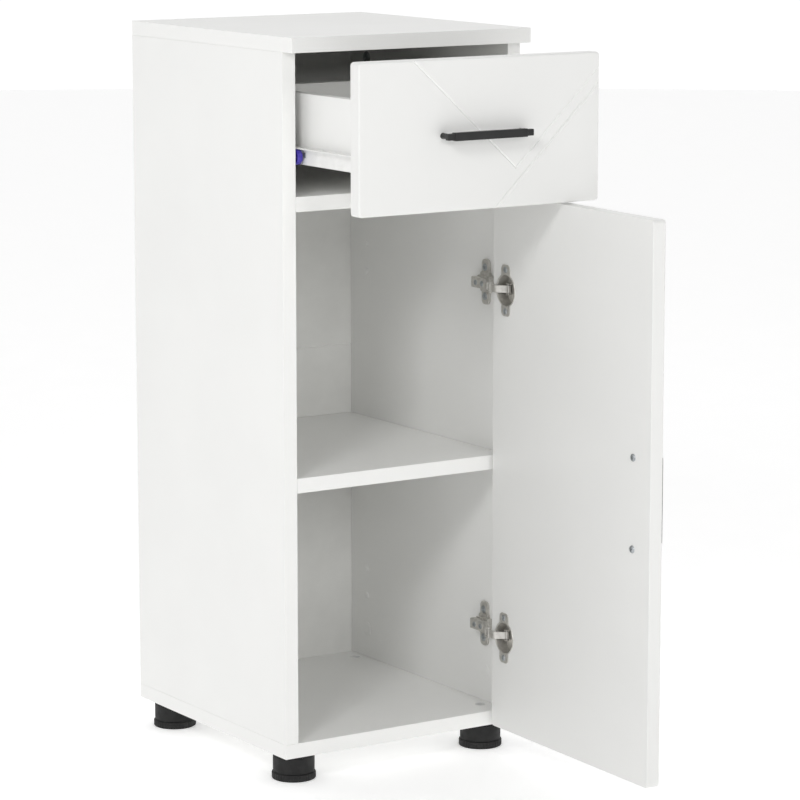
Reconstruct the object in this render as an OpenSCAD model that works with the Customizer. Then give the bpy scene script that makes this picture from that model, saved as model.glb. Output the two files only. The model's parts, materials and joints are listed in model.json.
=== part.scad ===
// Narrow floor-standing bathroom cabinet: one drawer over one right-hung door, on four short feet.
// The origin is the centre of the four-foot pattern at floor level. The front faces -Y and +Z is up.
// The model stands in its stored pose: the drawer part-way out and the door open.

/* [Carcass] */
// Overall width
cabinet_w = 300; // [260:1:420]
// Overall height with the feet
cabinet_h = 800; // [700:1:960]
// Depth of the side panels, front edge to back edge
carcass_d = 320; // [290:1:400]
// Thickness of the carcass boards
board_t = 16; // [15:0.5:19]
// How far the top panel stands forward of the side panels
top_overhang = 20; // [19:0.5:30]
// Thickness of the back boards
back_t = 3; // [2.5:0.1:4]
// Height of the seam between the two back boards, above the floor
back_seam_z = 415; // [380:1:450]
// Clear height of the drawer bay, under the top panel
drawer_bay_h = 151; // [130:1:170]
// Height of the shelf's underside above the bottom panel
shelf_z = 272; // [240:1:300]
// How far the shelf's front edge stands behind the side panels' front edges
shelf_inset = 1; // [0.5:0.5:10]

/* [Fronts] */
// Thickness of the door and the drawer front
front_t = 16; // [16:0.5:19]
// Gap between the fronts' inner faces and the carcass
front_gap = 3; // [3:0.1:4]
// Gap between the fronts, and above and below them
reveal = 2; // [1.5:0.1:4]
// How far the fronts stop short of each side
side_reveal = 1; // [0.5:0.1:2]
// Radius of the fronts' corners
front_corner_r = 4; // [1:0.5:8]
// Width of the decorative V-grooves
groove_w = 3; // [1:0.1:4]
// Slope of the V-grooves, in degrees
groove_angle = 43.5; // [40:0.5:46]
// How far the door is open in the stored pose, in degrees
door_open = 88; // [0:1:95]

/* [Drawer] */
// How far the drawer is out in the stored pose
drawer_out = 127; // [0:1:185]
// Length of the drawer box behind its front
drawer_box_l = 256; // [250:1:262]
// Height of the drawer sides
drawer_side_h = 73; // [60:1:80]
// Thickness of the drawer sides and back
drawer_side_t = 12; // [12:0.5:15]
// Thickness of the drawer's bottom board
drawer_bottom_t = 3; // [2.5:0.1:4]
// Gap from the divider up to the drawer sides
drawer_floor_gap = 34; // [30:1:40]
// Gap on each side of the drawer box for the runners
runner_gap = 12.5; // [12.5:0.1:13.5]
// Length of each runner
runner_l = 250; // [240:1:256]
// Diameter of the runner rollers
roller_d = 17; // [16:0.1:17.2]

/* [Feet and handles] */
// Height of the feet
foot_h = 30; // [26:1:50]
// Diameter of the foot sockets
foot_d = 46; // [36:1:50]
// Diameter of the levelling bases
base_d = 48; // [38:1:52]
// Distance from the side faces to the foot centres
foot_inset_x = 28; // [27:1:40]
// Distance from the front and back edges to the foot centres
foot_inset_y = 30; // [28:1:60]
// Distance between the handles' screws
handle_pitch = 96; // [64:32:128]
// How far a handle reaches past each of its screws
handle_end = 5; // [4.5:0.5:30]
// Distance from the door's free edge to its handle
handle_inset = 31; // [24:1:60]
// Distance from the door's ends to the hinge centres
hinge_inset = 104; // [80:1:140]

/* [Hidden] */
$fn = 64;
EPS = 0.02;

// Colours of the finishes
board_white = "#ECECEA";
front_white = "#F1F1EF";
board_inside = "#E4E4E2";
satin_black = "#1E1E1E";
nickel = "#B9B9B6";
zinc = "#C9CBCC";
roller_blue = "#4A3DB0";
rail_white = "#F6F6F4";
beech = "#C9A676";

// Carcass planes
side_x = cabinet_w / 2;
inner_x = side_x - board_t;
front_y = -carcass_d / 2;
back_y = carcass_d / 2;
base_z = foot_h;
floor_z = base_z + board_t;
top_z = cabinet_h - board_t;
divider_top = top_z - drawer_bay_h;
divider_z = divider_top - board_t;
shelf_bottom = floor_z + shelf_z;
rabbet_w = 8;
rabbet_clear = 0.2;
back_face = back_y - back_t - rabbet_clear;
shelf_clear = 0.5;

// Fronts
front_x = side_x - side_reveal;
front_in = front_y - front_gap;
front_out = front_in - front_t;
front_split = divider_z + board_t / 2;
drawer_front_z = front_split + reveal / 2;
drawer_front_top = top_z - reveal;
door_z = base_z + reveal;
door_top = front_split - reveal / 2;
fine_groove_w = 0.6 * groove_w;
groove_foot_x = 17;

// Feet
foot_x = side_x - foot_inset_x;
foot_y = back_y - foot_inset_y;
base_h = 8;
stem_r = 5;
stem_bore_r = 5.06;
floor_bore_r = 5.6;
spigot_r = 8;
spigot_h = 9;

// Fittings in the boards
dowel_r = 4;
dowel_l = 30;
dowel_clear = 0.05;
cam_r = 7.5;
cam_h = 12.4;
cam_back = 34;
bolt_r = 3;
bolt_thread = 11;
fitting_y = 122;
dowel_y = 90;
cap_r = 8.2;
cap_t = 1;
pilot_r = 2.5;
pilot_depth = 11;
pin_r = 2.5;
grid_pitch = 32;
grid_edge = 37;
nail_r = 0.7;
nail_l = 15;
nail_head_r = 1.6;
nail_head_t = 0.4;
nail_x = inner_x + rabbet_w / 2;

// Hinges. The arm pivot is fixed, the cup pivot rides on the door, and the link joins the two.
hinge_z = [door_z + hinge_inset, door_top - hinge_inset];
arm_pivot = [inner_x - 23.3, front_y - 3.2];
cup_pivot_u = 17;
cup_pivot_v = 9;
cup_pivot = [front_x - cup_pivot_u, front_in - cup_pivot_v];
link_share = 0.5;
cup_r = 17.5;
cup_wall = 0.8;
cup_depth = 13;
cup_u = 25.5;
cup_x = front_x - cup_u;
lip_t = 1;
hinge_pin_r = 1.2;
hinge_bore_r = 1.26;
eye_r = 2.1;
link_t = 1.8;
link_half_w = 4;
cheek_gap = 0.35;
cheek_t = 1.4;
plate_t = 3;
plate_half_h = 25;
plate_w = 14;
plate_y = front_y + grid_edge;
arm_top = 5.5;

// Drawer
drawer_x = inner_x - runner_gap;
drawer_z = divider_top + drawer_floor_gap;
drawer_top = drawer_z + drawer_side_h;
drawer_back_y = front_in + drawer_box_l;
bottom_groove_z = drawer_z + 8;
groove_depth = 5;
groove_clear = 0.2;

// Runners
sheet_t = 1.2;
roller_w = 6;
roller_r = roller_d / 2;
axle_r = 2;
axle_bore_r = 2.06;
rail_bottom = drawer_z - sheet_t;
lip_z = rail_bottom + roller_d;
hub_recess = 0.6;
hub_half_w = roller_w / 2 - hub_recess;
roller_x = inner_x - 2.6 - roller_w / 2;
runner_w = 10.3;
front_roller_y = front_y + 8;
front_roller_z = lip_z - roller_r - 0.03;
channel_floor = rail_bottom - 0.1;
rear_roller_z = channel_floor + sheet_t + roller_r + 0.03;
channel_top = lip_z + sheet_t + 1;
rear_roller_y = drawer_back_y - 14;

// Handles
handle_l = handle_pitch + 2 * handle_end;
grip_l = handle_l - 16;
grip_h = 8.5;
grip_d = 7;
tip_h = 6.8;
tip_d = 5.4;
post_r = 3.2;
handle_out = 19;
handle_screw_r = 2;
handle_head_r = 4;
handle_z = (drawer_front_z + drawer_front_top) / 2;
door_handle_x = -front_x + handle_inset;
door_handle_z = (door_z + door_top) / 2;

function turn(p, a) = [p[0] * cos(a) - p[1] * sin(a), p[0] * sin(a) + p[1] * cos(a)];
cup_pivot_now = arm_pivot + turn(cup_pivot - arm_pivot, -link_share * door_open);

// ---------- placing helpers ----------

// A box given by its low and high corners
module block(lo, hi) translate(lo) cube(hi - lo);

// Moves a piece of the drawer from closed to its stored place
module on_drawer() translate([0, -drawer_out, 0]) children();

// Turns a piece of the door from closed to its stored place
module on_door() translate(cup_pivot_now) rotate(door_open) translate(-cup_pivot) children();

// Turns a hinge link from closed to its stored place
module on_link() translate(arm_pivot) rotate(-link_share * door_open) translate(-arm_pivot) children();

module along_x(x, y, z, r, l) translate([x, y, z]) rotate([0, 90, 0]) cylinder(r = r, h = l);
module along_y(x, y, z, r, l) translate([x, y, z]) rotate([-90, 0, 0]) cylinder(r = r, h = l);
module along_z(x, y, z, r, l) translate([x, y, z]) cylinder(r = r, h = l);

// Both ends of the depth, at the same distance from the middle
module both_y(y) for (s = [-1, 1]) translate([0, s * y, 0]) children();

// ---------- carcass ----------

// Cam lock housings, bolt channels and dowel holes at one end of a side panel
module side_end_bores(end_z, inward) {
    both_y(fitting_y) {
        along_x(inner_x - 1, 0, end_z + inward * cam_back, cam_r + dowel_clear, cam_h + 1.1);
        translate([side_x - board_t / 2, 0, end_z + (inward > 0 ? -1 : -cam_back)])
            cylinder(r = bolt_r + dowel_clear, h = cam_back + 1);
    }
    both_y(dowel_y)
        along_z(side_x - board_t / 2, 0, end_z - dowel_l / 2, dowel_r + dowel_clear, dowel_l);
}

// Right-hand side panel; the left one is its mirror image
module side_panel() {
    difference() {
        block([inner_x, front_y, floor_z], [side_x, back_y, top_z]);
        block([inner_x - 1, back_face, floor_z - 1], [inner_x + rabbet_w, back_y + 1, top_z + 1]);
        side_end_bores(floor_z, 1);
        side_end_bores(top_z, -1);
        for (y = hinge_row_y, z = hinge_row_z)
            along_x(inner_x - 1, y, z, pilot_r + dowel_clear, pilot_depth + 1);
        both_y(fitting_y)
            along_x(inner_x - 1, 0, divider_z + board_t / 2, pilot_r + dowel_clear, bolt_thread + 1);
        both_y(dowel_y)
            along_x(inner_x - 1, 0, divider_z + board_t / 2, dowel_r + dowel_clear, pilot_depth + 1);
        both_y(fitting_y)
            along_x(inner_x - 1, 0, shelf_bottom - pin_r, pin_r + dowel_clear, pilot_depth + 1);
        for (y = runner_screw_y) along_x(inner_x - 1, y, runner_screw_z, screw_r, screw_l + 1);
        for (z = side_nail_z) along_y(nail_x, back_face - nail_l, z, nail_r + EPS, nail_l + 1);
    }
}
hinge_row_y = [front_y + grid_edge, back_y - grid_edge];
hinge_row_z = [for (z = hinge_z, s = [-1, 1]) z + s * grid_pitch / 2];
side_nail_z = [for (k = [0 : 7]) floor_z + 20 + k * (top_z - floor_z - 40) / 7];
screw_r = 1.7;
screw_l = 12;
screw_head_r = 3.4;
screw_head_t = 1.1;
runner_screw_y = [front_y + 37, front_y + 133, front_y + 229];
runner_screw_z = (channel_floor + channel_top) / 2 + 0.5;

module side_panel_left() color(board_white) mirror([1, 0, 0]) side_panel();
module side_panel_right() color(board_white) side_panel();

// Bolt and dowel holes in a flat panel's face over both side panels' ends; up is -1 for the top panel
module panel_face_bores(z, up) {
    for (s = [-1, 1]) translate([s * (side_x - board_t / 2), 0, z - (up > 0 ? bolt_thread : 1)]) {
        both_y(fitting_y) cylinder(r = pilot_r + dowel_clear, h = bolt_thread + 1);
        both_y(dowel_y) cylinder(r = dowel_r + dowel_clear, h = bolt_thread + 1);
    }
}

// Nail holes in a panel's back edge
module edge_nail_bores(z) for (x = row_nail_x) along_y(x, back_face - nail_l, z, nail_r + EPS, nail_l + 1);

module top_panel() color(board_white) difference() {
    block([-side_x, front_y - top_overhang, top_z], [side_x, back_y, cabinet_h]);
    panel_face_bores(top_z, -1);
}

module bottom_panel() color(board_white) difference() {
    block([-side_x, front_y, base_z], [side_x, back_y, floor_z]);
    block([-inner_x - rabbet_w, back_face, base_z + 4], [inner_x + rabbet_w, back_y + 1, floor_z + 1]);
    panel_face_bores(floor_z, 1);
    edge_nail_bores(base_z + board_t / 2);
    at_feet() {
        along_z(0, 0, base_z - 1, spigot_r + dowel_clear, spigot_h + 1);
        along_z(0, 0, base_z, floor_bore_r, board_t + 1);
    }
}

module drawer_divider() color(board_white) difference() {
    block([-inner_x, front_y, divider_z], [inner_x, back_face - shelf_clear, divider_top]);
    edge_nail_bores(divider_z + board_t / 2);
    for (s = [-1, 1]) {
        both_y(fitting_y) {
            along_z(s * (inner_x - cam_back), 0, divider_z - 1, cam_r + dowel_clear, cam_h + 1.1);
            translate([s > 0 ? inner_x - cam_back : -inner_x - 1, 0, 0])
                along_x(0, 0, divider_z + board_t / 2, bolt_r + dowel_clear, cam_back + 1);
        }
        both_y(dowel_y)
            along_x(s > 0 ? inner_x - 19 : -inner_x - 1, 0, divider_z + board_t / 2,
                    dowel_r + dowel_clear, 20);
    }
}

module adjustable_shelf() color(board_white)
    block([-inner_x + shelf_clear, front_y + shelf_inset, shelf_bottom],
          [inner_x - shelf_clear, back_face - shelf_clear, shelf_bottom + board_t]);

// Four stepped pins that carry the shelf
module shelf_pins() color(zinc)
    for (s = [0, 1]) mirror([s, 0, 0]) both_y(fitting_y) {
        along_x(inner_x - 7, 0, shelf_bottom - pin_r, pin_r, 7 + pilot_depth - 1);
        along_x(inner_x - 1.2, 0, shelf_bottom - pin_r - 1.5, pin_r + 1.4, 1.2);
    }

// Nail positions in the back, as [x, z]
row_nail_x = [-90, 0, 90];
back_nails = concat([for (s = [-1, 1], z = side_nail_z) [s * nail_x, z]],
                    [for (x = row_nail_x, z = [base_z + board_t / 2, divider_z + board_t / 2]) [x, z]]);
seam_gap = 0.6;
module back_board(z_lo, z_hi) color(board_inside) difference() {
    block([-inner_x - rabbet_w + 0.5, back_y - back_t, z_lo], [inner_x + rabbet_w - 0.5, back_y, z_hi]);
    for (p = back_nails) if (p[1] > z_lo - 2 && p[1] < z_hi + 2) {
        along_y(p[0], back_y - back_t - 1, p[1], nail_r + EPS, back_t + 2);
        along_y(p[0], back_y - nail_head_t, p[1], nail_head_r + EPS, 1);
    }
}
module back_board_upper() back_board(back_seam_z + seam_gap / 2, top_z - 0.2);
module back_board_lower() back_board(base_z + 4.2, back_seam_z - seam_gap / 2);

// Nails with their heads flush in the back boards
module back_board_nails() color(zinc) for (p = back_nails) {
    along_y(p[0], back_y - nail_l, p[1], nail_r, nail_l - nail_head_t + EPS);
    along_y(p[0], back_y - nail_head_t, p[1], nail_head_r, nail_head_t);
}

module dowels() color(beech) for (s = [-1, 1]) {
    both_y(dowel_y) {
        along_z(s * (side_x - board_t / 2), 0, floor_z - 10, dowel_r, 24);
        along_z(s * (side_x - board_t / 2), 0, top_z - 14, dowel_r, 24);
        along_x(s > 0 ? inner_x - 18 : -inner_x - 10, 0, divider_z + board_t / 2, dowel_r, 28);
    }
}

// A bolt along +Z whose thread is below z = 0 and whose head is caught by the cam
module cam_bolt() {
    along_z(0, 0, -bolt_thread + 0.5, pilot_r, bolt_thread - 0.5);
    along_z(0, 0, 0, bolt_r, 2);
    along_z(0, 0, 2 - EPS, 1.8, cam_back - 8);
    along_z(0, 0, cam_back - 6 - 2 * EPS, bolt_r - 0.2, 3);
}
module cam_bolts() color(zinc) for (s = [-1, 1]) both_y(fitting_y) {
    translate([s * (side_x - board_t / 2), 0, floor_z]) cam_bolt();
    translate([s * (side_x - board_t / 2), 0, top_z]) mirror([0, 0, 1]) cam_bolt();
    translate([s * inner_x, 0, divider_z + board_t / 2]) rotate([0, -s * 90, 0]) cam_bolt();
}

// A cam along +Z from its face at z = 0, with a cross slot and an open side for the bolt's head
module cam_lock() difference() {
    along_z(0, 0, 0, cam_r, cam_h);
    block([-1.5, -3.4, board_t / 2 - 3.4], [cam_r + 1, 3.4, board_t / 2 + 3.4]);
    for (a = [0, 90]) rotate(a) block([-4, -0.7, -1], [4, 0.7, 1.4]);
}
module cam_locks() color(zinc) for (s = [0, 1]) mirror([s, 0, 0]) both_y(fitting_y) {
    translate([inner_x, 0, floor_z + cam_back]) rotate([0, 90, 0]) cam_lock();
    translate([inner_x, 0, top_z - cam_back]) mirror([0, 0, 1]) rotate([0, 90, 0]) cam_lock();
    translate([inner_x - cam_back, 0, divider_z]) cam_lock();
}

// Thin plastic caps over the lower cams and over the hinge holes that a left-hung door would use
module cap(r, y, z) along_x(inner_x - cap_t, y, z, r, cap_t);
module cover_caps() color(rail_white) {
    for (s = [0, 1]) mirror([s, 0, 0]) {
        both_y(fitting_y) cap(cap_r, 0, floor_z + cam_back);
        for (z = hinge_row_z) cap(pilot_r + 1.6, hinge_row_y[1], z);
    }
    mirror([1, 0, 0]) for (z = hinge_row_z) cap(pilot_r + 1.6, hinge_row_y[0], z);
}

// ---------- feet ----------

module at_feet() for (sx = [-1, 1], sy = [-1, 1]) translate([sx * foot_x, sy * foot_y, 0]) children();

module foot_socket(sx, sy) color(satin_black) translate([sx * foot_x, sy * foot_y, 0]) difference() {
    union() {
        along_z(0, 0, base_h, foot_d / 2, base_z - base_h);
        along_z(0, 0, base_z - EPS, spigot_r, spigot_h);
    }
    along_z(0, 0, base_h - 1, stem_bore_r, foot_h + spigot_h + 2);
    difference() {
        along_z(0, 0, base_h - 1, foot_d / 2 - 2.5, base_z - base_h - 3);
        along_z(0, 0, base_h - 2, spigot_r + 1, foot_h);
        for (a = [0 : 60 : 120]) rotate(a) block([-foot_d, -0.9, 0], [foot_d, 0.9, base_z]);
    }
}
module foot_front_left() foot_socket(-1, -1);
module foot_front_right() foot_socket(1, -1);
module foot_back_left() foot_socket(-1, 1);
module foot_back_right() foot_socket(1, 1);

module foot_base(sx, sy) color(satin_black) translate([sx * foot_x, sy * foot_y, 0]) difference() {
    union() {
        along_z(0, 0, 0, base_d / 2, base_h - 0.3);
        along_z(0, 0, base_h - 0.3 - EPS, stem_r, base_z + board_t - 5 - base_h);
    }
    block([-4, -0.6, base_z + board_t - 7], [4, 0.6, base_z + board_t]);
}
module foot_base_front_left() foot_base(-1, -1);
module foot_base_front_right() foot_base(1, -1);
module foot_base_back_left() foot_base(-1, 1);
module foot_base_back_right() foot_base(1, 1);

// ---------- runners ----------

// Cabinet rail on the right-hand side panel: a web, a channel floor with a lip, and a short hold-down flange
module runner() {
    x0 = inner_x;
    difference() {
        union() {
            block([x0 - sheet_t, front_y + 2, channel_floor],
                  [x0, front_y + 2 + runner_l, channel_top + sheet_t]);
            block([x0 - runner_w, front_y + 20, channel_floor],
                  [x0, front_y + 2 + runner_l, channel_floor + sheet_t]);
            block([x0 - runner_w, front_y + 20, channel_floor],
                  [x0 - runner_w + sheet_t, front_y + 2 + runner_l, channel_floor + 2 * sheet_t]);
            block([x0 - runner_w, front_y + 20, channel_top],
                  [x0, front_y + 2 + runner_l, channel_top + sheet_t]);
            block([x0 - runner_w, front_y + runner_l, channel_floor],
                  [x0, front_y + 2 + runner_l, channel_top]);
        }
        along_x(x0 - sheet_t - 1, front_roller_y, front_roller_z, axle_r + EPS, sheet_t + 2);
        for (y = runner_screw_y) along_x(x0 - sheet_t - 1, y, runner_screw_z, screw_r, sheet_t + 2);
    }
}
module runner_left() color(rail_white) mirror([1, 0, 0]) runner();
module runner_right() color(rail_white) runner();

// A roller with a shallow recess in each face, about an axis along X through its centre
module roller() rotate([0, 90, 0]) difference() {
    translate([0, 0, -roller_w / 2]) cylinder(r = roller_r, h = roller_w);
    translate([0, 0, -roller_w]) cylinder(r = axle_bore_r, h = 2 * roller_w);
    for (s = [0, 1]) mirror([0, 0, s]) translate([0, 0, hub_half_w]) cylinder(r = roller_r - 1.8, h = 1);
}
module front_roller(s) color(roller_blue) translate([s * roller_x, front_roller_y, front_roller_z]) roller();
module front_roller_left() front_roller(-1);
module front_roller_right() front_roller(1);

// Riveted axles: a shaft through the rail's web with a head past the roller
module front_roller_axles() color(zinc) for (s = [0, 1]) mirror([s, 0, 0]) {
    along_x(roller_x - hub_half_w - 0.3, front_roller_y, front_roller_z, axle_r,
            inner_x - roller_x + hub_half_w + 0.3);
    along_x(roller_x - hub_half_w - 0.58, front_roller_y, front_roller_z, axle_r + 1, 0.5);
    along_x(roller_x + hub_half_w + 0.12, front_roller_y, front_roller_z, axle_r + 1.2,
            inner_x - sheet_t - roller_x - hub_half_w - 0.12);
}

// A pan-head screw along +X with its head's underside at x = 0
module screw_x(r, l, head_r, head_t) {
    along_x(-head_t * 0.3, 0, 0, r, l + head_t * 0.3);
    difference() {
        along_x(-head_t, 0, 0, head_r, head_t);
        for (a = [0, 90]) rotate([a, 0, 0])
            block([-head_t - 1, -head_r * 0.6, -0.35], [-head_t * 0.4, head_r * 0.6, 0.35]);
    }
}
module runner_screws() color(zinc) for (s = [0, 1], y = runner_screw_y) mirror([s, 0, 0])
    translate([inner_x - sheet_t, y, runner_screw_z])
        screw_x(screw_r - EPS, screw_l, screw_head_r, screw_head_t);

// ---------- drawer ----------

// A V-groove of half-width w in a front's outer face, from p along a slope for a length
module v_groove(p, angle, length, w, back = 0)
    translate([p[0], front_out, p[1]]) rotate([0, -angle, 0]) rotate([45, 0, 0])
        block([-back, -w * sqrt(0.5), -w * sqrt(0.5)], [length, w * sqrt(0.5), w * sqrt(0.5)]);

// A flat front panel with rounded corners
module front_slab(z_lo, z_hi) translate([0, front_in, 0]) rotate([90, 0, 0]) linear_extrude(front_t) {
    r = front_corner_r;
    for (x = [-front_x + r, front_x - r], z = [z_lo + r, z_hi - r]) translate([x, z]) circle(r);
    translate([-front_x + r, z_lo]) square([2 * (front_x - r), z_hi - z_lo]);
    translate([-front_x, z_lo + r]) square([2 * front_x, z_hi - z_lo - 2 * r]);
}

// Where the two fine grooves meet, beside the long one
meet_p = [groove_foot_x + 26.3, front_split + 41.6];

module handle_bores(x, z, along) for (s = [-1, 1])
    translate([x, front_in + 1, z] + s * handle_pitch / 2 * along) rotate([90, 0, 0])
        cylinder(r = handle_screw_r + 0.1, h = front_t + 2);

module drawer_front() color(front_white) on_drawer() difference() {
    front_slab(drawer_front_z, drawer_front_top);
    v_groove([groove_foot_x, front_split], groove_angle, 400, groove_w / 2, 20);
    v_groove(meet_p, groove_angle, 400, fine_groove_w / 2);
    v_groove(meet_p, 180 - groove_angle + 1.4, 400, fine_groove_w / 2);
    handle_bores(0, handle_z, [1, 0, 0]);
    block([-drawer_x + drawer_side_t - 4.8, front_in - groove_depth, bottom_groove_z - groove_clear / 2],
          [drawer_x - drawer_side_t + 4.8, front_in + 1, bottom_groove_z + drawer_bottom_t + groove_clear / 2]);
    for (s = [-1, 1], z = drawer_dowel_z)
        along_y(s * (drawer_x - drawer_side_t / 2), front_in - 10.5, z, drawer_dowel_r + dowel_clear, 12);
}
drawer_dowel_r = 3;
drawer_dowel_z = [drawer_z + 20, drawer_top - 14];

module drawer_side() on_drawer() difference() {
    block([drawer_x - drawer_side_t, front_in, drawer_z], [drawer_x, drawer_back_y, drawer_top]);
    block([drawer_x - drawer_side_t - 1, front_in - 1, bottom_groove_z - groove_clear / 2],
          [drawer_x - drawer_side_t + groove_depth, drawer_back_y + 1,
           bottom_groove_z + drawer_bottom_t + groove_clear / 2]);
    for (z = drawer_dowel_z) {
        along_y(drawer_x - drawer_side_t / 2, front_in - 1, z, drawer_dowel_r + dowel_clear, 16);
        along_x(drawer_x - drawer_side_t - 1, drawer_back_y - drawer_side_t / 2, z,
                drawer_dowel_r + dowel_clear, 9);
    }
    for (y = rail_screw_y) along_x(drawer_x - 7, y, rail_screw_z, 1.5, 8);
}
rail_screw_y = [front_in + 24, front_in + 130, drawer_back_y - 34];
rail_screw_z = drawer_z + 9;
module drawer_side_left() color(board_white) mirror([1, 0, 0]) drawer_side();
module drawer_side_right() color(board_white) drawer_side();

module drawer_back() color(board_white) on_drawer() difference() {
    block([-drawer_x + drawer_side_t, drawer_back_y - drawer_side_t,
           bottom_groove_z + drawer_bottom_t + groove_clear],
          [drawer_x - drawer_side_t, drawer_back_y, drawer_top]);
    for (s = [-1, 1], z = drawer_dowel_z)
        along_x(s > 0 ? drawer_x - drawer_side_t - 15 : -drawer_x + drawer_side_t - 1,
                drawer_back_y - drawer_side_t / 2, z, drawer_dowel_r + dowel_clear, 16);
}

module drawer_bottom() color(board_inside) on_drawer()
    block([-drawer_x + drawer_side_t - groove_depth + 0.5, front_in - groove_depth + 0.5, bottom_groove_z],
          [drawer_x - drawer_side_t + groove_depth - 0.5, drawer_back_y - 0.5,
           bottom_groove_z + drawer_bottom_t]);

module drawer_dowels() color(beech) on_drawer() for (s = [-1, 1], z = drawer_dowel_z) {
    along_y(s * (drawer_x - drawer_side_t / 2), front_in - 10, z, drawer_dowel_r, 24);
    along_x(s > 0 ? drawer_x - drawer_side_t - 13 : -drawer_x + drawer_side_t - 7,
            drawer_back_y - drawer_side_t / 2, z, drawer_dowel_r, 20);
}

// Drawer rail: a flange under the drawer side, a web, and a lip that rides on the front roller
module drawer_rail() on_drawer() difference() {
    union() {
        block([drawer_x - 10, front_in + 3, rail_bottom], [drawer_x + sheet_t, rear_roller_y + 5, drawer_z]);
        block([drawer_x, front_in + 3, rail_bottom], [drawer_x + sheet_t, rear_roller_y + 5, lip_z + sheet_t]);
        block([drawer_x, front_in + 3, lip_z],
              [roller_x + roller_w / 2 - 0.5, rear_roller_y - roller_r - 2, lip_z + sheet_t]);
    }
    along_x(drawer_x - 1, rear_roller_y, rear_roller_z, axle_r + EPS, sheet_t + 2);
    for (y = rail_screw_y) along_x(drawer_x - 1, y, rail_screw_z, 1.5, sheet_t + 2);
}
module drawer_rail_left() color(rail_white) mirror([1, 0, 0]) drawer_rail();
module drawer_rail_right() color(rail_white) drawer_rail();

module rear_roller(s) color(roller_blue) on_drawer()
    translate([s * roller_x, rear_roller_y, rear_roller_z]) roller();
module rear_roller_left() rear_roller(-1);
module rear_roller_right() rear_roller(1);
module rear_roller_axles() color(zinc) on_drawer() for (s = [0, 1]) mirror([s, 0, 0]) {
    along_x(drawer_x, rear_roller_y, rear_roller_z, axle_r, roller_x + hub_half_w + 0.3 - drawer_x);
    along_x(roller_x + hub_half_w + 0.08, rear_roller_y, rear_roller_z, axle_r + 1, 0.5);
    along_x(drawer_x + sheet_t, rear_roller_y, rear_roller_z, axle_r + 1.2,
            roller_x - hub_half_w - 0.12 - drawer_x - sheet_t);
}
module drawer_rail_screws() color(zinc) on_drawer() for (s = [0, 1], y = rail_screw_y) mirror([s, 0, 0])
    translate([drawer_x + sheet_t, y, rail_screw_z]) mirror([1, 0, 0]) screw_x(1.5 - EPS, 7.5, 2.8, 1);

// ---------- handles ----------

// A bar handle along X, standing off the outer face y = 0 towards -Y
module handle() difference() {
    union() {
        block([-grip_l / 2, -handle_out, -grip_h / 2], [grip_l / 2, -handle_out + grip_d, grip_h / 2]);
        block([-handle_l / 2, -handle_out + 0.9, -tip_h / 2],
              [handle_l / 2, -handle_out + 0.9 + tip_d, tip_h / 2]);
        for (s = [-1, 1]) translate([s * handle_pitch / 2, 0, 0]) rotate([90, 0, 0])
            cylinder(r = post_r, h = handle_out - tip_d + 1);
    }
    for (s = [-1, 1]) translate([s * handle_pitch / 2, 1, 0]) rotate([90, 0, 0])
        cylinder(r = handle_screw_r, h = 12);
}

// Machine screws that hold a handle, from the inner face y = front_t
module handle_screws() for (s = [-1, 1]) translate([s * handle_pitch / 2, 0, 0]) {
    along_y(0, -9, 0, handle_screw_r - EPS, front_t + 9);
    difference() {
        along_y(0, front_t, 0, handle_head_r, 1.8);
        for (a = [0, 90]) translate([0, front_t + 1, 0]) rotate([0, a, 0])
            block([-2.4, 0, -0.4], [2.4, 2, 0.4]);
    }
}
module at_drawer_handle() on_drawer() translate([0, front_out, handle_z]) children();
module at_door_handle() on_door()
    translate([door_handle_x, front_out, door_handle_z]) rotate([0, 90, 0]) children();
module drawer_handle() color(satin_black) at_drawer_handle() handle();
module drawer_handle_screws() color(zinc) at_drawer_handle() handle_screws();
module door_handle() color(satin_black) at_door_handle() handle();
module door_handle_screws() color(zinc) at_door_handle() handle_screws();

// ---------- door ----------

module door_panel() color(front_white) on_door() difference() {
    front_slab(door_z, door_top);
    v_groove([groove_foot_x, front_split], groove_angle + 180, 600, groove_w / 2);
    handle_bores(door_handle_x, door_handle_z, [0, 0, 1]);
    for (z = hinge_z) {
        translate([cup_x, front_in + 1, z]) rotate([90, 0, 0]) cylinder(r = cup_r + EPS, h = cup_depth + 1);
        for (s = [-1, 1]) translate([cup_x, front_in + 1, z + s * cup_screw_z]) rotate([90, 0, 0])
            cylinder(r = screw_r, h = 11);
    }
}
cup_screw_z = 22.5;

// ---------- hinges ----------

// Cup pressed into the door: a pot notched for the link, a lip, two screw wings and two lugs for the pin
module hinge_cup(z) color(nickel) on_door() translate([cup_x, front_in, z]) {
    lug_x = cup_u - cup_pivot_u;
    difference() {
        union() {
            translate([0, lip_t / 2, 0]) rotate([90, 0, 0]) cylinder(r = cup_r, h = cup_depth + lip_t / 2);
            translate([0, lip_t, 0]) rotate([90, 0, 0]) cylinder(r = cup_r + 1, h = lip_t);
            block([-8.5, 0, -28], [8.5, lip_t, 28]);
        }
        translate([0, lip_t + 1, 0]) rotate([90, 0, 0])
            cylinder(r = cup_r - cup_wall, h = cup_depth - cup_wall + lip_t + 1);
        for (s = [-1, 1]) translate([0, lip_t + 1, s * cup_screw_z]) rotate([90, 0, 0])
            cylinder(r = screw_r, h = 3);
        block([12.5, -3.5, -link_half_w - 0.8], [cup_r + 2, lip_t + 1, link_half_w + 0.8]);
    }
    difference() {
        for (s = [0, 1]) mirror([0, 0, s])
            block([lug_x - 2.4, -cup_depth + cup_wall - EPS, link_half_w + 0.6],
                  [lug_x + 2.4, -cup_pivot_v + 2.2, link_half_w + 2.2]);
        translate([lug_x, -cup_pivot_v, -10]) cylinder(r = hinge_pin_r + EPS, h = 20);
    }
}
module hinge_cup_upper() hinge_cup(hinge_z[1]);
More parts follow.
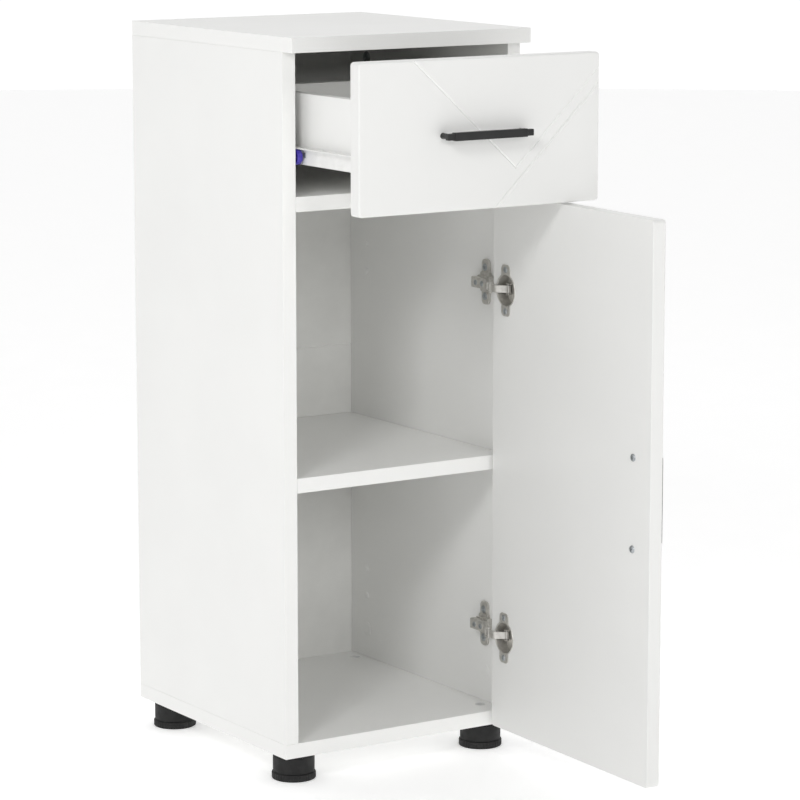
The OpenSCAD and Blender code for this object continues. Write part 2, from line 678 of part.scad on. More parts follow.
module hinge_cup_lower() hinge_cup(hinge_z[0]);
module hinge_cup_screws() color(zinc) on_door() for (z = hinge_z, s = [-1, 1])
    translate([cup_x, front_in + lip_t, z + s * cup_screw_z]) rotate([0, 0, -90])
        screw_x(screw_r - EPS, 10, screw_head_r, screw_head_t);
module hinge_cup_pins() color(zinc) on_door() for (z = hinge_z)
    along_z(cup_pivot[0], cup_pivot[1], z - link_half_w - 2.2, hinge_pin_r, 2 * (link_half_w + 2.2));

// A flat strip between two plan points
module strip(p, q, t) translate(p) rotate(atan2(q[1] - p[1], q[0] - p[0])) translate([0, -t / 2])
    square([norm(q - p), t]);

// Swan-neck link in its closed place, from the arm's pivot to the cup's
link_dir = (arm_pivot - cup_pivot) / norm(arm_pivot - cup_pivot);
link_side = [-link_dir[1], link_dir[0]];
link_knee = [cup_pivot + 11 * link_dir + 6.6 * link_side, cup_pivot + 14.5 * link_dir + 6.8 * link_side];
module hinge_link(z) color(nickel) on_link() difference() {
    translate([0, 0, z - link_half_w]) linear_extrude(2 * link_half_w) {
        translate(arm_pivot) circle(eye_r);
        translate(cup_pivot) circle(eye_r);
        strip(cup_pivot, link_knee[0], link_t);
        strip(link_knee[0], link_knee[1], link_t);
        strip(link_knee[1], arm_pivot, link_t);
        for (p = link_knee) translate(p) circle(link_t / 2);
    }
    for (p = [arm_pivot, cup_pivot]) along_z(p[0], p[1], z - 10, hinge_bore_r, 20);
}
module hinge_link_upper() hinge_link(hinge_z[1]);
module hinge_link_lower() hinge_link(hinge_z[0]);

// Arm: two cheeks at the pivot, joined behind the carcass front to a bar that sits on the mounting plate
arm_neck = arm_pivot + [0.4, 6];
arm_knee = [inner_x - plate_t - arm_top - 3.4, front_y + 20];
arm_tail = [arm_knee[0], front_y + 48];
module hinge_arm(z) color(nickel) {
    cheek = link_half_w + cheek_gap;
    difference() {
        union() {
            for (s = [0, 1]) translate([0, 0, z]) mirror([0, 0, s]) translate([0, 0, cheek])
            linear_extrude(cheek_t) {
                translate(arm_pivot) circle(eye_r);
                strip(arm_pivot, arm_neck, 2 * eye_r);
                strip(arm_neck, arm_knee, 4.2);
                translate(arm_neck) circle(eye_r);
            }
            translate([0, 0, z - cheek - 0.7]) linear_extrude(2 * (cheek + 0.7))
                strip(arm_neck + 0.25 * (arm_knee - arm_neck), arm_knee + [0.4, 1.5], 3.6);
            block([arm_knee[0] - 2.5, arm_knee[1] - 1, z - 6], [arm_knee[0] + 4.4, arm_tail[1], z + 6]);
        }
        along_z(arm_pivot[0], arm_pivot[1], z - 10, hinge_pin_r + EPS, 20);
        for (y = arm_screw_y) along_x(arm_knee[0] - 4, y, z, 1.8, 12);
    }
}
arm_screw_y = [front_y + 27, plate_y + 2];
module hinge_arm_upper() hinge_arm(hinge_z[1]);
module hinge_arm_lower() hinge_arm(hinge_z[0]);
module hinge_arm_pins() color(zinc) for (z = hinge_z)
    along_z(arm_pivot[0], arm_pivot[1], z - link_half_w - cheek_gap - cheek_t, hinge_pin_r,
            2 * (link_half_w + cheek_gap + cheek_t));
module hinge_arm_screws() color(zinc) for (z = hinge_z, y = arm_screw_y)
    translate([arm_knee[0] - 2.5, y, z]) screw_x(1.8 - EPS, 8, 2.9, 1);

// Cross-shaped mounting plate on the side panel
module hinge_plate(z) color(nickel) difference() {
    union() {
        block([inner_x - plate_t, plate_y - plate_w / 2, z - plate_half_h],
              [inner_x, plate_y + plate_w / 2, z + plate_half_h]);
        block([arm_knee[0] + 4.4, plate_y - 13, z - 8.5], [inner_x, plate_y + 9, z + 8.5]);
    }
    for (s = [-1, 1]) along_x(inner_x - plate_t - 1, plate_y, z + s * grid_pitch / 2, pilot_r, plate_t + 2);
    for (y = arm_screw_y) along_x(arm_knee[0] + 4, y, z, 1.8, 3);
}
module hinge_plate_upper() hinge_plate(hinge_z[1]);
module hinge_plate_lower() hinge_plate(hinge_z[0]);
module hinge_plate_screws() color(zinc) for (z = hinge_z, s = [-1, 1])
    translate([inner_x - plate_t, plate_y, z + s * grid_pitch / 2])
        screw_x(pilot_r - EPS, plate_t + pilot_depth - 1, 4.2, 1.2);

side_panel_left();
side_panel_right();
top_panel();
bottom_panel();
drawer_divider();
adjustable_shelf();
shelf_pins();
back_board_upper();
back_board_lower();
back_board_nails();
dowels();
cam_bolts();
cam_locks();
cover_caps();
foot_front_left();
foot_front_right();
foot_back_left();
foot_back_right();
foot_base_front_left();
foot_base_front_right();
foot_base_back_left();
foot_base_back_right();
runner_left();
runner_right();
front_roller_left();
front_roller_right();
front_roller_axles();
runner_screws();
hinge_plate_upper();
hinge_plate_lower();
hinge_arm_upper();
hinge_arm_lower();
hinge_plate_screws();
hinge_arm_screws();
hinge_arm_pins();
hinge_link_upper();
hinge_link_lower();
hinge_cup_upper();
hinge_cup_lower();
hinge_cup_screws();
hinge_cup_pins();
door_panel();
door_handle();
door_handle_screws();
drawer_front();
drawer_side_left();
drawer_side_right();
drawer_back();
drawer_bottom();
drawer_rail_left();
drawer_rail_right();
rear_roller_left();
rear_roller_right();
rear_roller_axles();
drawer_rail_screws();
drawer_handle();
drawer_handle_screws();
drawer_dowels();
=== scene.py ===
"""The looks of a narrow white bathroom cabinet: boards, foil-pressed fronts, hinges, runners, handles and feet.

Lengths are in millimetres in the size classes and in metres in the meshes. Pieces of the door are
made in the closed place and then swung to the stored one.
"""

import json
import logging
import math
from dataclasses import dataclass, field
from enum import Enum

import bmesh
import bpy
from mathutils import Matrix, Vector

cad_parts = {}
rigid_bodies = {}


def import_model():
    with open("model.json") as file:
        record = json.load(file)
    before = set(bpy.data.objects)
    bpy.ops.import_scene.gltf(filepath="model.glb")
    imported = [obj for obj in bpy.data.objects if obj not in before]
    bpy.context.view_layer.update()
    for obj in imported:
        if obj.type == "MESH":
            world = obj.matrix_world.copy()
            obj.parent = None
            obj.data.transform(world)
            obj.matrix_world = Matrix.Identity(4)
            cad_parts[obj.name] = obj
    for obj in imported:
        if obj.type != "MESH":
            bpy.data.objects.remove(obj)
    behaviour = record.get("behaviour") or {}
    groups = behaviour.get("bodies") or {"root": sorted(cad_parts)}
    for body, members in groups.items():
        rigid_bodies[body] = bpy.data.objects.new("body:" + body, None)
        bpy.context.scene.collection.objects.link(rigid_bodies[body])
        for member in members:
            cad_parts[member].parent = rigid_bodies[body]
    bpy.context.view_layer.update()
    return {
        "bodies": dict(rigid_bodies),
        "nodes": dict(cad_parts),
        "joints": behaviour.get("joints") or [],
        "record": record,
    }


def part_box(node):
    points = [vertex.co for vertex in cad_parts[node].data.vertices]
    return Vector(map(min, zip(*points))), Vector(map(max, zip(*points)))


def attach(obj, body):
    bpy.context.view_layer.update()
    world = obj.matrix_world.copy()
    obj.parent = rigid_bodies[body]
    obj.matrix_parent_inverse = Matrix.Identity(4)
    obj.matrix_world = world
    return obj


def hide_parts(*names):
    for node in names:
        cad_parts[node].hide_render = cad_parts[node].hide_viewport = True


LOG = logging.getLogger("cabinet")
MM = 0.001
Plan = tuple[float, float]
Triple = tuple[float, float, float]
Tree = bpy.types.NodeTree
Node = bpy.types.Node
Socket = bpy.types.NodeSocket
BMesh = bmesh.types.BMesh
STILL = Matrix.Identity(4)
FORWARD, BACKWARD = Vector((0, -1, 0)), Vector((0, 1, 0))


def linear(colour: str, alpha: float = 1.0) -> tuple[float, float, float, float]:
    """Turns an sRGB hex colour into the linear one that shaders use.

    Args:
        colour: Six hex digits after a hash.
        alpha: The fourth value.

    Returns:
        Linear red, green and blue, and alpha.
    """
    parts = [int(colour[i : i + 2], 16) / 255 for i in (1, 3, 5)]
    parts = [c / 12.92 if c <= 0.04045 else ((c + 0.055) / 1.055) ** 2.4 for c in parts]
    return (parts[0], parts[1], parts[2], alpha)


def add_node(
    tree: Tree, kind: str, values: dict | None = None, links: dict | None = None, **settings: object
) -> Node:
    """Adds a shader node with its settings, its socket values and its incoming links.

    Args:
        tree: The material's node tree.
        kind: Blender's name for the node.
        values: Socket name or number to constant value.
        links: Socket name or number to the output that feeds it.
        **settings: Node properties.

    Returns:
        The new node.
    """
    node = tree.nodes.new(kind)
    for name, value in settings.items():
        setattr(node, name, value)
    for name, value in (values or {}).items():
        node.inputs[name].default_value = value
    for name, source in (links or {}).items():
        tree.links.new(source, node.inputs[name])
    return node


# --- finishes


@dataclass
class Surface:
    """A material being made: its nodes, its shader, the place on the piece, and its finish's plain values."""

    tree: Tree
    shader: Node
    place: Socket
    colour: str
    shade: str
    roughness: float

    def feed(self, value: Socket, socket: str) -> None:
        """Links a value to one of the shader's sockets."""
        self.tree.links.new(value, self.shader.inputs[socket])

    def noise(self, size_mm: float, detail: float = 2.0, along: Triple | None = None) -> Socket:
        """Returns a noise value whose blotches are about size_mm across.

        Args:
            size_mm: The blotches' width.
            detail: How many finer layers there are.
            along: How much each axis is squeezed, for blotches drawn long.

        Returns:
            The noise value.
        """
        place = self.place
        if along:
            place = add_node(self.tree, "ShaderNodeMapping", {"Scale": along}, {"Vector": place}).outputs["Vector"]
        values = {"Scale": 1000.0 / size_mm, "Detail": detail}
        return add_node(self.tree, "ShaderNodeTexNoise", values, {"Vector": place}).outputs["Fac"]

    def spread(self, value: Socket, low: float = 0.0, high: float = 1.0) -> Socket:
        """Returns a noise value moved from its usual middle range to low and high."""
        limits = {"From Min": 0.3, "From Max": 0.7, "To Min": low, "To Max": high}
        return add_node(self.tree, "ShaderNodeMapRange", limits, {"Value": value}).outputs["Result"]

    def cloud(self, noise: Socket) -> Socket:
        """Moves the colour between the finish's own and its shade, and returns the value that steers it."""
        value = self.spread(noise)
        colours = {6: linear(self.colour), 7: linear(self.shade)}
        self.feed(add_node(self.tree, "ShaderNodeMix", colours, {0: value}, data_type="RGBA").outputs[2], "Base Color")
        return value

    def dull(self, value: Socket, less: float, more: float) -> None:
        """Moves the roughness from less below the finish's own to more above it."""
        self.feed(self.spread(value, self.roughness - less, self.roughness + more), "Roughness")

    def bump(self, height: Socket, depth_mm: float) -> None:
        """Gives the shader a surface relief of depth_mm."""
        depth = {"Strength": 1.0, "Distance": depth_mm * MM}
        self.feed(add_node(self.tree, "ShaderNodeBump", depth, {"Height": height}).outputs["Normal"], "Normal")


@dataclass(frozen=True)
class Finish:
    """What every finish has: a name, a colour and the shader's plain numbers."""

    name: str
    colour: str
    roughness: float = 0.5
    metallic: float = 0.0
    ior: float = 1.5
    coat: float = 0.0
    coat_roughness: float = 0.1
    shade: str = "#E9E9E7"

    def material(self) -> bpy.types.Material:
        """Returns this finish as a material, made on its first use."""
        found = bpy.data.materials.get(self.name)
        if found:
            return found
        made = bpy.data.materials.new(self.name)
        made.use_nodes = True
        tree = made.node_tree
        tree.nodes.clear()
        shader = add_node(
            tree,
            "ShaderNodeBsdfPrincipled",
            {
                "Base Color": linear(self.colour),
                "Roughness": self.roughness,
                "Metallic": self.metallic,
                "IOR": self.ior,
                "Coat Weight": self.coat,
                "Coat Roughness": self.coat_roughness,
            },
        )
        add_node(tree, "ShaderNodeOutputMaterial", links={"Surface": shader.outputs["BSDF"]})
        place = add_node(tree, "ShaderNodeTexCoord").outputs["Object"]
        self.pattern(Surface(tree, shader, place, self.colour, self.shade, self.roughness))
        made.diffuse_color = linear(self.colour)
        return made

    def pattern(self, on: Surface) -> None:
        """Adds the finish's own pattern; a plain finish has none."""


@dataclass(frozen=True)
class MelamineFace(Finish):
    """Melamine-faced chipboard, pressed against a matt plate: a fine pearl that breaks up reflections."""

    # The press plate's pearl is about 0.3 mm; drawn at 1.2 mm so that it shows.
    pearl_mm: float = 1.2
    pearl_depth_mm: float = 0.008
    # Slow variation of the paper under the resin, a hand's width across.
    paper_mm: float = 90.0

    def pattern(self, on: Surface) -> None:
        """Adds the paper's slow shade, the pearl relief and uneven gloss."""
        on.cloud(on.noise(self.paper_mm))
        pearl = on.noise(self.pearl_mm, 3.0)
        on.dull(pearl, 0.03, 0.03)
        on.bump(pearl, self.pearl_depth_mm)


@dataclass(frozen=True)
class PressedFoil(Finish):
    """White PVC foil drawn over routed fibreboard in a hot press: smooth, with a faint long orange peel."""

    # The foil follows the board's swelling in waves about 6 mm long.
    peel_mm: float = 6.0
    peel_depth_mm: float = 0.008
    slow_mm: float = 120.0
    # Marks that hands leave in the gloss are a finger or two wide.
    marks_mm: float = 35.0

    def pattern(self, on: Surface) -> None:
        """Adds the peel, faint handling marks in the gloss, and a slow shade."""
        on.cloud(on.noise(self.slow_mm))
        on.dull(on.noise(self.marks_mm, 4.0), 0.01, 0.02)
        on.bump(on.noise(self.peel_mm, 1.0), self.peel_depth_mm)


@dataclass(frozen=True)
class EdgeTape(Finish):
    """ABS edge tape, extruded and scraped flush: slightly glossier than the face, with a faint scraped tooth."""

    # The scraper's tooth is about 0.3 mm, drawn at 1 mm so that it shows.
    tooth_mm: float = 1.0
    tooth_depth_mm: float = 0.004

    def pattern(self, on: Surface) -> None:
        """Adds the scraped tooth as tone, gloss and relief."""
        tooth = on.noise(self.tooth_mm)
        on.cloud(tooth)
        on.dull(tooth, 0.03, 0.03)
        on.bump(tooth, self.tooth_depth_mm)


@dataclass(frozen=True)
class PaintedHardboard(Finish):
    """Thin hardboard with a white painted face: duller than melamine, with short fibres under the paint."""

    # Fibre bundles are about 2 mm long.
    fibre_mm: float = 2.0
    fibre_depth_mm: float = 0.03
    cloud_mm: float = 25.0

    def pattern(self, on: Surface) -> None:
        """Adds the fibres' relief and a cloudy paint shade."""
        on.cloud(on.noise(self.cloud_mm, 3.0))
        on.bump(on.noise(self.fibre_mm, 4.0), self.fibre_depth_mm)


@dataclass(frozen=True)
class PlatedSteel(Finish):
    """Stamped steel with a bright barrel plating: rolled lines under the plating and a few dull patches."""

    # Rolling lines of the strip, 0.4 mm apart, drawn long along the strip.
    line_mm: float = 0.4
    line_depth_mm: float = 0.008
    lines_along: Triple = (1.0, 1.0, 0.06)
    patch_mm: float = 5.0

    def pattern(self, on: Surface) -> None:
        """Adds rolling lines and the dull patches' rougher plating."""
        on.dull(on.cloud(on.noise(self.patch_mm, 3.0)), 0.04, 0.1)
        on.bump(on.noise(self.line_mm, 2.0, self.lines_along), self.line_depth_mm)


@dataclass(frozen=True)
class PowderCoat(Finish):
    """Baked powder paint on metal: an even colour with a fine pebbled skin."""

    # Pebbles of the flowed powder are about 0.8 mm apart.
    pebble_mm: float = 0.8
    pebble_depth_mm: float = 0.02
    tone_mm: float = 12.0

    def pattern(self, on: Surface) -> None:
        """Adds the pebbles as relief and as a slight change of tone."""
        scale = {"Scale": 1000.0 / self.pebble_mm}
        cells = add_node(on.tree, "ShaderNodeTexVoronoi", scale, {"Vector": on.place}, feature="SMOOTH_F1")
        on.cloud(on.noise(self.tone_mm, 3.0))
        on.bump(cells.outputs["Distance"], self.pebble_depth_mm)


@dataclass(frozen=True)
class MouldedPlastic(Finish):
    """Injection-moulded plastic from a spark-eroded mould: a fine even grain and softer gloss on it."""

    # The eroded grain is 0.1 mm in the mould, drawn at 0.6 mm so that it shows.
    grain_mm: float = 0.6
    grain_depth_mm: float = 0.03
    scuff_mm: float = 9.0

    def pattern(self, on: Surface) -> None:
        """Adds the grain and a little scuffing in the gloss."""
        on.dull(on.cloud(on.noise(self.scuff_mm, 4.0)), 0.04, 0.08)
        on.bump(on.noise(self.grain_mm, 3.0), self.grain_depth_mm)


@dataclass(frozen=True)
class TurnedBeech(Finish):
    """Plain beech dowel: straight grain along the rod with short darker flecks."""

    fleck_mm: float = 1.5
    fleck_depth_mm: float = 0.03
    grain_along: Triple = (1.0, 1.0, 0.1)

    def pattern(self, on: Surface) -> None:
        """Adds flecks stretched along the grain."""
        on.bump(on.cloud(on.noise(self.fleck_mm, 4.0, self.grain_along)), self.fleck_depth_mm)


BOARD = MelamineFace("melamine_white", "#F5F5F3", 0.45, shade="#F3F3F1")
FRONT = PressedFoil("pressed_foil_white", "#EEEEEC", 0.34, coat=0.05, coat_roughness=0.25, shade="#ECECEA")
TAPE = EdgeTape("abs_edge_tape_white", "#F6F6F4", 0.38, shade="#F3F3F1")
BACKING = PaintedHardboard("hardboard_painted_white", "#F0F0ED", 0.58, shade="#ECECE9")
NICKEL = PlatedSteel("nickel_plated_steel", "#DAD8D3", 0.42, metallic=0.85, shade="#C6C4BF")
ZINC = PlatedSteel("zinc_plated_steel", "#C2C6C9", 0.36, metallic=1.0, shade="#A3A7AA")
WHITE_STEEL = PowderCoat("powder_coat_white", "#F4F4F2", 0.38, shade="#EBEBE9")
BLACK_METAL = PowderCoat("powder_coat_black", "#1D1D1D", 0.42, shade="#242424")
BLACK_PLASTIC = MouldedPlastic("moulded_polypropylene_black", "#0F0F0F", 0.62, shade="#141414")
BLUE_PLASTIC = MouldedPlastic("moulded_acetal_blue", "#4A3DB0", 0.3, shade="#41359E", grain_depth_mm=0.01)
WHITE_PLASTIC = MouldedPlastic("moulded_abs_white", "#F6F6F4", 0.34, shade="#F0F0EE", grain_depth_mm=0.008)
BEECH = TurnedBeech("turned_beech", "#C9A676", 0.6, shade="#A87F4E")


class Slot(Enum):
    """The record's material slots, by name."""

    CARCASS = "carcass_board"
    BACK = "back_board"
    FRONT = "front_board"
    DRAWER = "drawer_board"
    DRAWER_BASE = "drawer_base"
    FOOT = "foot_plastic"
    RAIL = "rail_steel"
    ROLLER = "roller_plastic"
    HINGE = "hinge_nickel"
    HANDLE = "handle_black"
    DOWEL = "dowel_wood"
    CAP = "cap_plastic"
    ZINC = "zinc_steel"


# --- mesh making


def point(x: float, y: float, z: float) -> Vector:
    """Returns a place given in millimetres as one in metres."""
    return Vector((x, y, z)) * MM


def shift(x: float, y: float, z: float) -> Matrix:
    """Returns a move given in millimetres."""
    return Matrix.Translation(point(x, y, z))


def turn(degrees: float, axis: str) -> Matrix:
    """Returns a turn about an axis through the origin."""
    return Matrix.Rotation(math.radians(degrees), 4, axis)


def add_object(name: str, data: bpy.types.ID) -> bpy.types.Object:
    """Makes an object of a mesh, a lamp or a camera and puts it in the scene."""
    made = bpy.data.objects.new(name, data)
    bpy.context.scene.collection.objects.link(made)
    return made


def to_mesh(name: str, bm: BMesh) -> bpy.types.Mesh:
    """Turns a mesh being edited into a kept one. The first is freed."""
    mesh = bpy.data.meshes.new(name)
    bm.to_mesh(mesh)
    bm.free()
    return mesh


def join(bm: BMesh, other: BMesh) -> None:
    """Moves another mesh's shells into bm. The other mesh is freed."""
    mesh = to_mesh("joined", other)
    bm.from_mesh(mesh)
    bpy.data.meshes.remove(mesh)


def finish_piece(
    name: str,
    bm: BMesh,
    finishes: list[Finish],
    body: str,
    node: str,
    smooth_deg: float = 38.0,
) -> bpy.types.Object:
    """Makes an object of a mesh, dresses it, puts it on its body and lets it stand for its CAD node.

    Args:
        name: The piece's name.
        bm: The mesh in the row frame, in metres. It is freed.
        finishes: The finishes, in the order that the faces number them.
        body: The CAD body that it rides on.
        node: The CAD node that it replaces.
        smooth_deg: Edges sharper than this stay sharp.

    Returns:
        The new object.
    """
    bmesh.ops.recalc_face_normals(bm, faces=bm.faces[:])
    mesh = to_mesh(name, bm)
    for finish in finishes:
        mesh.materials.append(finish.material())
    mesh.polygons.foreach_set("use_smooth", [True] * len(mesh.polygons))
    mesh.set_sharp_from_angle(angle=math.radians(smooth_deg))
    piece = add_object(name, mesh)
    weigh = piece.modifiers.new("flat_faces_stay_flat", "WEIGHTED_NORMAL")
    weigh.keep_sharp = True
    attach(piece, body)
    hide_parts(node)
    LOG.info("%s: %d faces on %s", name, len(mesh.polygons), body)
    return piece


def dress_node(frame: dict, node: str, finish: Finish) -> None:
    """Gives a CAD node that stays in view its finish."""
    mesh = frame["nodes"][node].data
    mesh.materials.clear()
    mesh.materials.append(finish.material())
    LOG.info("%s keeps its CAD shape, in %s", node, finish.name)


def node_mesh(frame: dict, node: str) -> BMesh:
    """Returns a CAD node's mesh welded, with its flat faces joined up again."""
    bm = bmesh.new()
    bm.from_mesh(frame["nodes"][node].data)
    bmesh.ops.remove_doubles(bm, verts=bm.verts[:], dist=2e-6)
    bmesh.ops.dissolve_limit(bm, angle_limit=math.radians(0.5), verts=bm.verts[:], edges=bm.edges[:])
    return bm


def ease_edges(bm: BMesh, radius_mm: float, shortest_mm: float, segments: int = 2) -> None:
    """Rounds a mesh's long sharp edges.

    Args:
        bm: The mesh.
        radius_mm: How much of each side of the edge is taken.
        shortest_mm: Shorter edges, such as those of holes, stay as they are.
        segments: Facets in the rounding.
    """
    inner = [e for e in bm.edges if len(e.link_faces) == 2 and e.calc_length() > shortest_mm * MM]
    chosen = [e for e in inner if e.calc_face_angle(0.0) > math.radians(50)]
    bmesh.ops.bevel(
        bm, geom=chosen, offset=radius_mm * MM, segments=segments, profile=0.5, affect="EDGES", clamp_overlap=True
    )


def loft(bm: BMesh, rings: list[list[Vector]], capped: bool = True) -> None:
    """Skins a stack of closed rings that have the same number of points, and caps its ends."""
    made = [[bm.verts.new(p) for p in ring] for ring in rings]
    count = len(made[0])
    for low, high in zip(made, made[1:]):
        for i in range(count):
            j = (i + 1) % count
            bm.faces.new((low[i], low[j], high[j], high[i]))
    if capped:
        bm.faces.new(made[0][::-1])
        bm.faces.new(made[-1])


def lathe(bm: BMesh, profile: list[Plan], place: Matrix, steps: int = 48) -> None:
    """Turns a profile of (radius, height) points, in millimetres, round the local Z axis of place.

    Args:
        bm: The mesh that takes the new shell.
        profile: Points from one end of the axis to the other; end points at radius 0 close it with a point.
        place: Where the local origin and axes lie, in metres.
        steps: Facets round the axis.
    """
    closed = profile[0][0] > 0 and profile[0] == profile[-1]
    points = profile[:-1] if closed else profile
    columns: list[list[bmesh.types.BMVert]] = []
    for k in range(steps):
        a = 2 * math.pi * k / steps
        c, s = math.cos(a), math.sin(a)
        columns.append([bm.verts.new(place @ Vector((r * c * MM, r * s * MM, h * MM))) for r, h in points])
    size = len(points)
    spans = size if closed else size - 1
    for k in range(steps):
        a, b = columns[k], columns[(k + 1) % steps]
        for i in range(spans):
            j = (i + 1) % size
            bm.faces.new((a[i], b[i], b[j], a[j]))
    bmesh.ops.remove_doubles(bm, verts=[v for c in columns for v in c], dist=1e-7)


def soft_box(
    bm: BMesh, low: Triple, high: Triple, ease: float, place: Matrix = STILL
) -> None:
    """Adds a box with rounded edges.

    Args:
        bm: The mesh that takes it.
        low: Its lowest corner, in millimetres.
        high: Its highest corner, in millimetres.
        ease: The rounding, in millimetres.
        place: Where the local frame lies, in metres.
    """
    a, b = Vector(low) * MM, Vector(high) * MM
    shape = Matrix.Translation((a + b) / 2) @ Matrix.Diagonal((*(b - a), 1.0))
    made = bmesh.ops.create_cube(bm, size=1.0, matrix=place @ shape)
    edges = list({e for v in made["verts"] for e in v.link_edges})
    bmesh.ops.bevel(bm, geom=edges, offset=ease * MM, segments=3, profile=0.5, affect="EDGES", clamp_overlap=True)


def slab(
    bm: BMesh, outline: list[Plan], low: float, high: float, ease: float, place: Matrix = STILL
) -> None:
    """Adds a plate cut to an outline, with rounded rims.

    Args:
        bm: The mesh that takes it.
        outline: Plan points in millimetres, anticlockwise.
        low: The bottom face's height, in millimetres.
        high: The top face's height, in millimetres.
        ease: The rims' rounding, in millimetres.
        place: Where the local frame lies, in metres.
    """
    rings = []
    for inset, height in (
        (ease, low), (ease * 0.3, low + ease * 0.3), (0.0, low + ease),
        (0.0, high - ease), (ease * 0.3, high - ease * 0.3), (ease, high),
    ):
        rings.append([place @ Vector((x * MM, y * MM, height * MM)) for x, y in inset_outline(outline, inset)])
    loft(bm, rings)


def inset_outline(outline: list[Plan], inset: float) -> list[Plan]:
    """Moves an anticlockwise outline's sides inwards by inset."""
    moved = []
    count = len(outline)
    for i in range(count):
        before, here, after = (Vector(outline[k % count]) for k in (i - 1, i, i + 1))
        first = (here - before).normalized()
        second = (after - here).normalized()
        normal = Vector((-first.y - second.y, first.x + second.x))
        if normal.length < 1e-9:
            moved.append((here.x, here.y))
            continue
        normal.normalize()
        reach = inset / max(0.4, normal.dot(Vector((-second.y, second.x))))
        moved.append((here.x + normal.x * reach, here.y + normal.y * reach))
    return moved


def rounded_outline(half_x: float, half_y: float, radius: float, steps: int = 6) -> list[Plan]:
    """Returns a rectangle's anticlockwise outline with rounded corners, centred on the origin."""
    points = []
    for cx, cy, start in ((1, 1, 0), (-1, 1, 90), (-1, -1, 180), (1, -1, 270)):
        for k in range(steps + 1):
            a = math.radians(start + 90 * k / steps)
            x, y = radius * math.cos(a), radius * math.sin(a)
            points.append((cx * (half_x - radius) + x, cy * (half_y - radius) + y))
    return points


def thick_path(points: list[Plan], widths: list[float]) -> list[Plan]:
    """Returns the anticlockwise outline of a strip along plan points, with round ends.

    Args:
        points: The strip's middle line, in millimetres.
        widths: The strip's full width at each point.

    Returns:
        The outline.
    """
    count = len(points)
    left, right = [], []
    for i in range(count):
        a = Vector(points[max(i - 1, 0)])
        b = Vector(points[min(i + 1, count - 1)])
        along = (b - a).normalized()
        side = Vector((-along.y, along.x)) * widths[i] / 2
        here = Vector(points[i])
        left.append(here + side)
        right.append(here - side)
    outline = list(right)
    for end, sign in ((count - 1, 1), (0, -1)):
        a = Vector(points[count - 2 if end else 1])
        along = (Vector(points[end]) - a).normalized()
        side = Vector((along.y, -along.x))
        for k in range(1, 8):
            t = math.pi * k / 8
            outline.append(Vector(points[end]) + (side * math.cos(t) + along * math.sin(t)) * widths[end] / 2)
        if end:
            outline.extend(reversed(left))
    return [(p.x, p.y) for p in outline]


def carve(bm: BMesh, tool: BMesh) -> None:
    """Cuts a tool's shells out of a closed mesh. The tool is freed."""
    objects = []
    for source in (bm, tool):
        bmesh.ops.recalc_face_normals(source, faces=source.faces[:])
        mesh = bpy.data.meshes.new("carving")
        source.to_mesh(mesh)
        objects.append(add_object("carving", mesh))
    tool.free()
    cut = objects[0].modifiers.new("cut", "BOOLEAN")
    cut.operation, cut.solver, cut.object = "DIFFERENCE", "EXACT", objects[1]
    cut.use_self = True
    graph = bpy.context.evaluated_depsgraph_get()
    result = bpy.data.meshes.new_from_object(objects[0].evaluated_get(graph))
    bm.clear()
    bm.from_mesh(result)
    for thing in objects:
        mesh = thing.data
        bpy.data.objects.remove(thing)
        bpy.data.meshes.remove(mesh)
    bpy.data.meshes.remove(result)


def toward(axis: Vector, origin: Vector) -> Matrix:
    """Returns the frame whose Z axis points along axis from origin."""
    return Matrix.Translation(origin) @ axis.to_track_quat("Z", "Y").to_matrix().to_4x4()


def centre_of(node: str) -> Vector:
    """Returns the middle of a CAD node's box."""
    low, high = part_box(node)
    return (low + high) / 2


# --- boards


@dataclass
class Boards:
    """The flat boards of the carcass and of the drawer box, with eased edges and taped front edges."""

    ease: float = 0.45
    tape_depth: float = 0.9
    # The axes that each board's taped edges face along.
    carcass: dict[str, str] = field(
        default_factory=lambda: {
            "side_panel_left": "y",
            "side_panel_right": "y",
            "top_panel": "xy",
            "bottom_panel": "xy",
            "drawer_divider": "y",
            "adjustable_shelf": "y",
        }
    )
    drawer: dict[str, str] = field(
        default_factory=lambda: {"drawer_side_left": "z", "drawer_side_right": "z", "drawer_back": "z"}
    )

    def board(self, frame: dict, node: str, body: str, taped: str) -> None:
        """Makes one board with tape on the edges that face along the taped axes."""
        bm = node_mesh(frame, node)
        low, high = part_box(node)
        ease_edges(bm, self.ease, 8.0)
        for face in bm.faces:
            middle = face.calc_center_median()
            for axis, letter in enumerate("xyz"):
                if letter in taped and min(middle[axis] - low[axis], high[axis] - middle[axis]) < self.tape_depth * MM:
                    face.material_index = 1
        finish_piece(node + "_board", bm, [BOARD, TAPE], body, node)

    def build(self, frame: dict) -> None:
        """Makes every board, and dresses the thin ones."""
        for node, taped in self.carcass.items():
            self.board(frame, node, "cabinet", taped)
        for node, taped in self.drawer.items():
            self.board(frame, node, "drawer", taped)
        for node in ("back_board_upper", "back_board_lower", "drawer_bottom"):
            dress_node(frame, node, BACKING)


# --- fronts


@dataclass
class Groove:
    """One routed line: where it starts, its slope, how far it runs and how wide it opens."""

    start: Plan
    slope_deg: float
    length: float
    width: float
    back: float = 0.0


